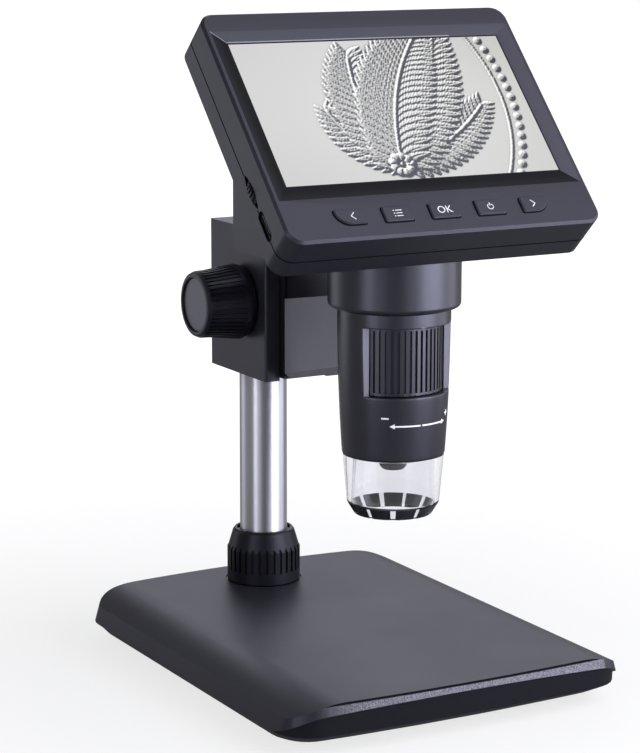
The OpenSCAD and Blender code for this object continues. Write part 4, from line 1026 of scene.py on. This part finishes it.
# Painted shade: the floor's glow is weaker near the microscope and comes up to full between these distances
FLOOR_SHADE_POOL = (0.10, 0.55)  # distances between which the floor's glow comes up
FLOOR_NEAR = 1.0
FLOOR_FAR = 1.42
FLOOR_MIRRORED = 0.2
FLOOR_GLOW = 0.75  # share of the floor that glows where it is looked at; the rest shows shade
SKY_MIRRORED = 0.22
SKY_FILL = 0.2


def ray_level(tree, looked_at, mirrored, otherwise):
    """A level that depends on how a surface is met: looked at or seen through glass, mirrored, or as fill light."""
    path = tree.nodes.new("ShaderNodeLightPath")
    seen = combine(tree, "MAXIMUM", path.outputs["Is Camera Ray"], path.outputs["Is Transmission Ray"])
    mirror = ramp(tree, path.outputs["Is Glossy Ray"], 0.0, 1.0, otherwise, mirrored)
    level = tree.nodes.new("ShaderNodeMix")
    level.inputs["B"].default_value = looked_at
    tree.links.new(seen, level.inputs["Factor"])
    tree.links.new(mirror, level.inputs["A"])
    return level.outputs["Result"]


def pale_floor():
    """A white sweep that glows by itself, a little less where the microscope stands: a painted pool of shade round
    it, in which its cast shade also shows.
    """
    deselect_all()
    bpy.ops.mesh.primitive_plane_add(size=FLOOR_SIZE)
    floor = bpy.context.object
    floor.name = "floor"
    material, tree, shader = new_material("pale_floor")
    set_shader(shader, (0.86, 0.86, 0.87), 0.6, 0.2)
    place = tree.nodes.new("ShaderNodeTexCoord")
    far = tree.nodes.new("ShaderNodeVectorMath")
    far.operation = "LENGTH"
    tree.links.new(place.outputs["Object"], far.inputs[0])
    pool = ramp(tree, far.outputs["Value"], *FLOOR_SHADE_POOL, FLOOR_NEAR, FLOOR_FAR)
    strength = combine(tree, "MULTIPLY", pool, ray_level(tree, 1.0, FLOOR_MIRRORED, 0.0))
    glow = tree.nodes.new("ShaderNodeEmission")
    glow.inputs["Color"].default_value = (1, 1, 1, 1)
    tree.links.new(strength, glow.inputs["Strength"])
    mix = tree.nodes.new("ShaderNodeMixShader")
    tree.links.new(ray_level(tree, FLOOR_GLOW, 1.0, 0.0), mix.inputs["Fac"])
    tree.links.new(shader.outputs[0], mix.inputs[1])
    tree.links.new(glow.outputs[0], mix.inputs[2])
    tree.links.new(mix.outputs[0], tree.nodes["Material Output"].inputs["Surface"])
    floor.data.materials.append(material)


def studio_world():
    """White where it is looked at, dimmer in reflections and as fill light."""
    world = bpy.data.worlds.new("studio")
    bpy.context.scene.world = world
    world.use_nodes = True
    tree = world.node_tree
    background = tree.nodes["Background"]
    background.inputs["Color"].default_value = (1, 1, 1, 1)
    tree.links.new(ray_level(tree, 1.0, SKY_MIRRORED, SKY_FILL), background.inputs["Strength"])


# ---------- lamps ----------

COOL_WHITE = (0.93, 0.935, 1.0)
BLUE_WHITE = (0.86, 0.87, 1.0)
PANEL_FAR = 0.50
PANEL_H = 0.50
# Direction in degrees from +X, width and level of each panel round the barrel
PANELS = [
    (-6, 0.20, 1.4), (-26, 0.16, 1.2), (-46, 0.20, 4.2), (-66, 0.16, 4.0), (-88, 0.20, 1.0), (-146, 0.20, 0.6),
    (-165, 0.14, 2.2), (122, 0.20, 0.62),
]


def softbox(name, place, target, width, height, power, color=COOL_WHITE):
    data = bpy.data.lights.new(name, "AREA")
    data.shape = "RECTANGLE"
    data.size, data.size_y = width, height
    data.energy = power
    data.color = color
    lamp = new_object(name, data)
    lamp.location = place
    lamp.visible_camera = False
    lamp.rotation_euler = (Vector(target) - Vector(place)).to_track_quat("-Z", "Y").to_euler()


def panel(turn, width, level):
    """A soft panel that stands on the floor and faces the barrel."""
    a = math.radians(turn)
    place = (PANEL_FAR * math.cos(a), BARREL_Y + PANEL_FAR * math.sin(a), PANEL_H / 2)
    softbox("panel_%d" % turn, place, (0, BARREL_Y, PANEL_H / 2), width, PANEL_H, 4 * level * width * PANEL_H)


camera()
pale_floor()
studio_world()
for turn, width, level in PANELS:
    panel(turn, width, level)
softbox("right_back", (1.0, 1.2, 0.85), (0, 0, 0.02), 1.55, 1.0, 6.2, BLUE_WHITE)
softbox("overhead", (0.52, -0.53, 1.38), (0, -0.03, 0.18), 0.9, 0.9, 5.5)
bpy.context.scene.view_settings.view_transform = "Standard"
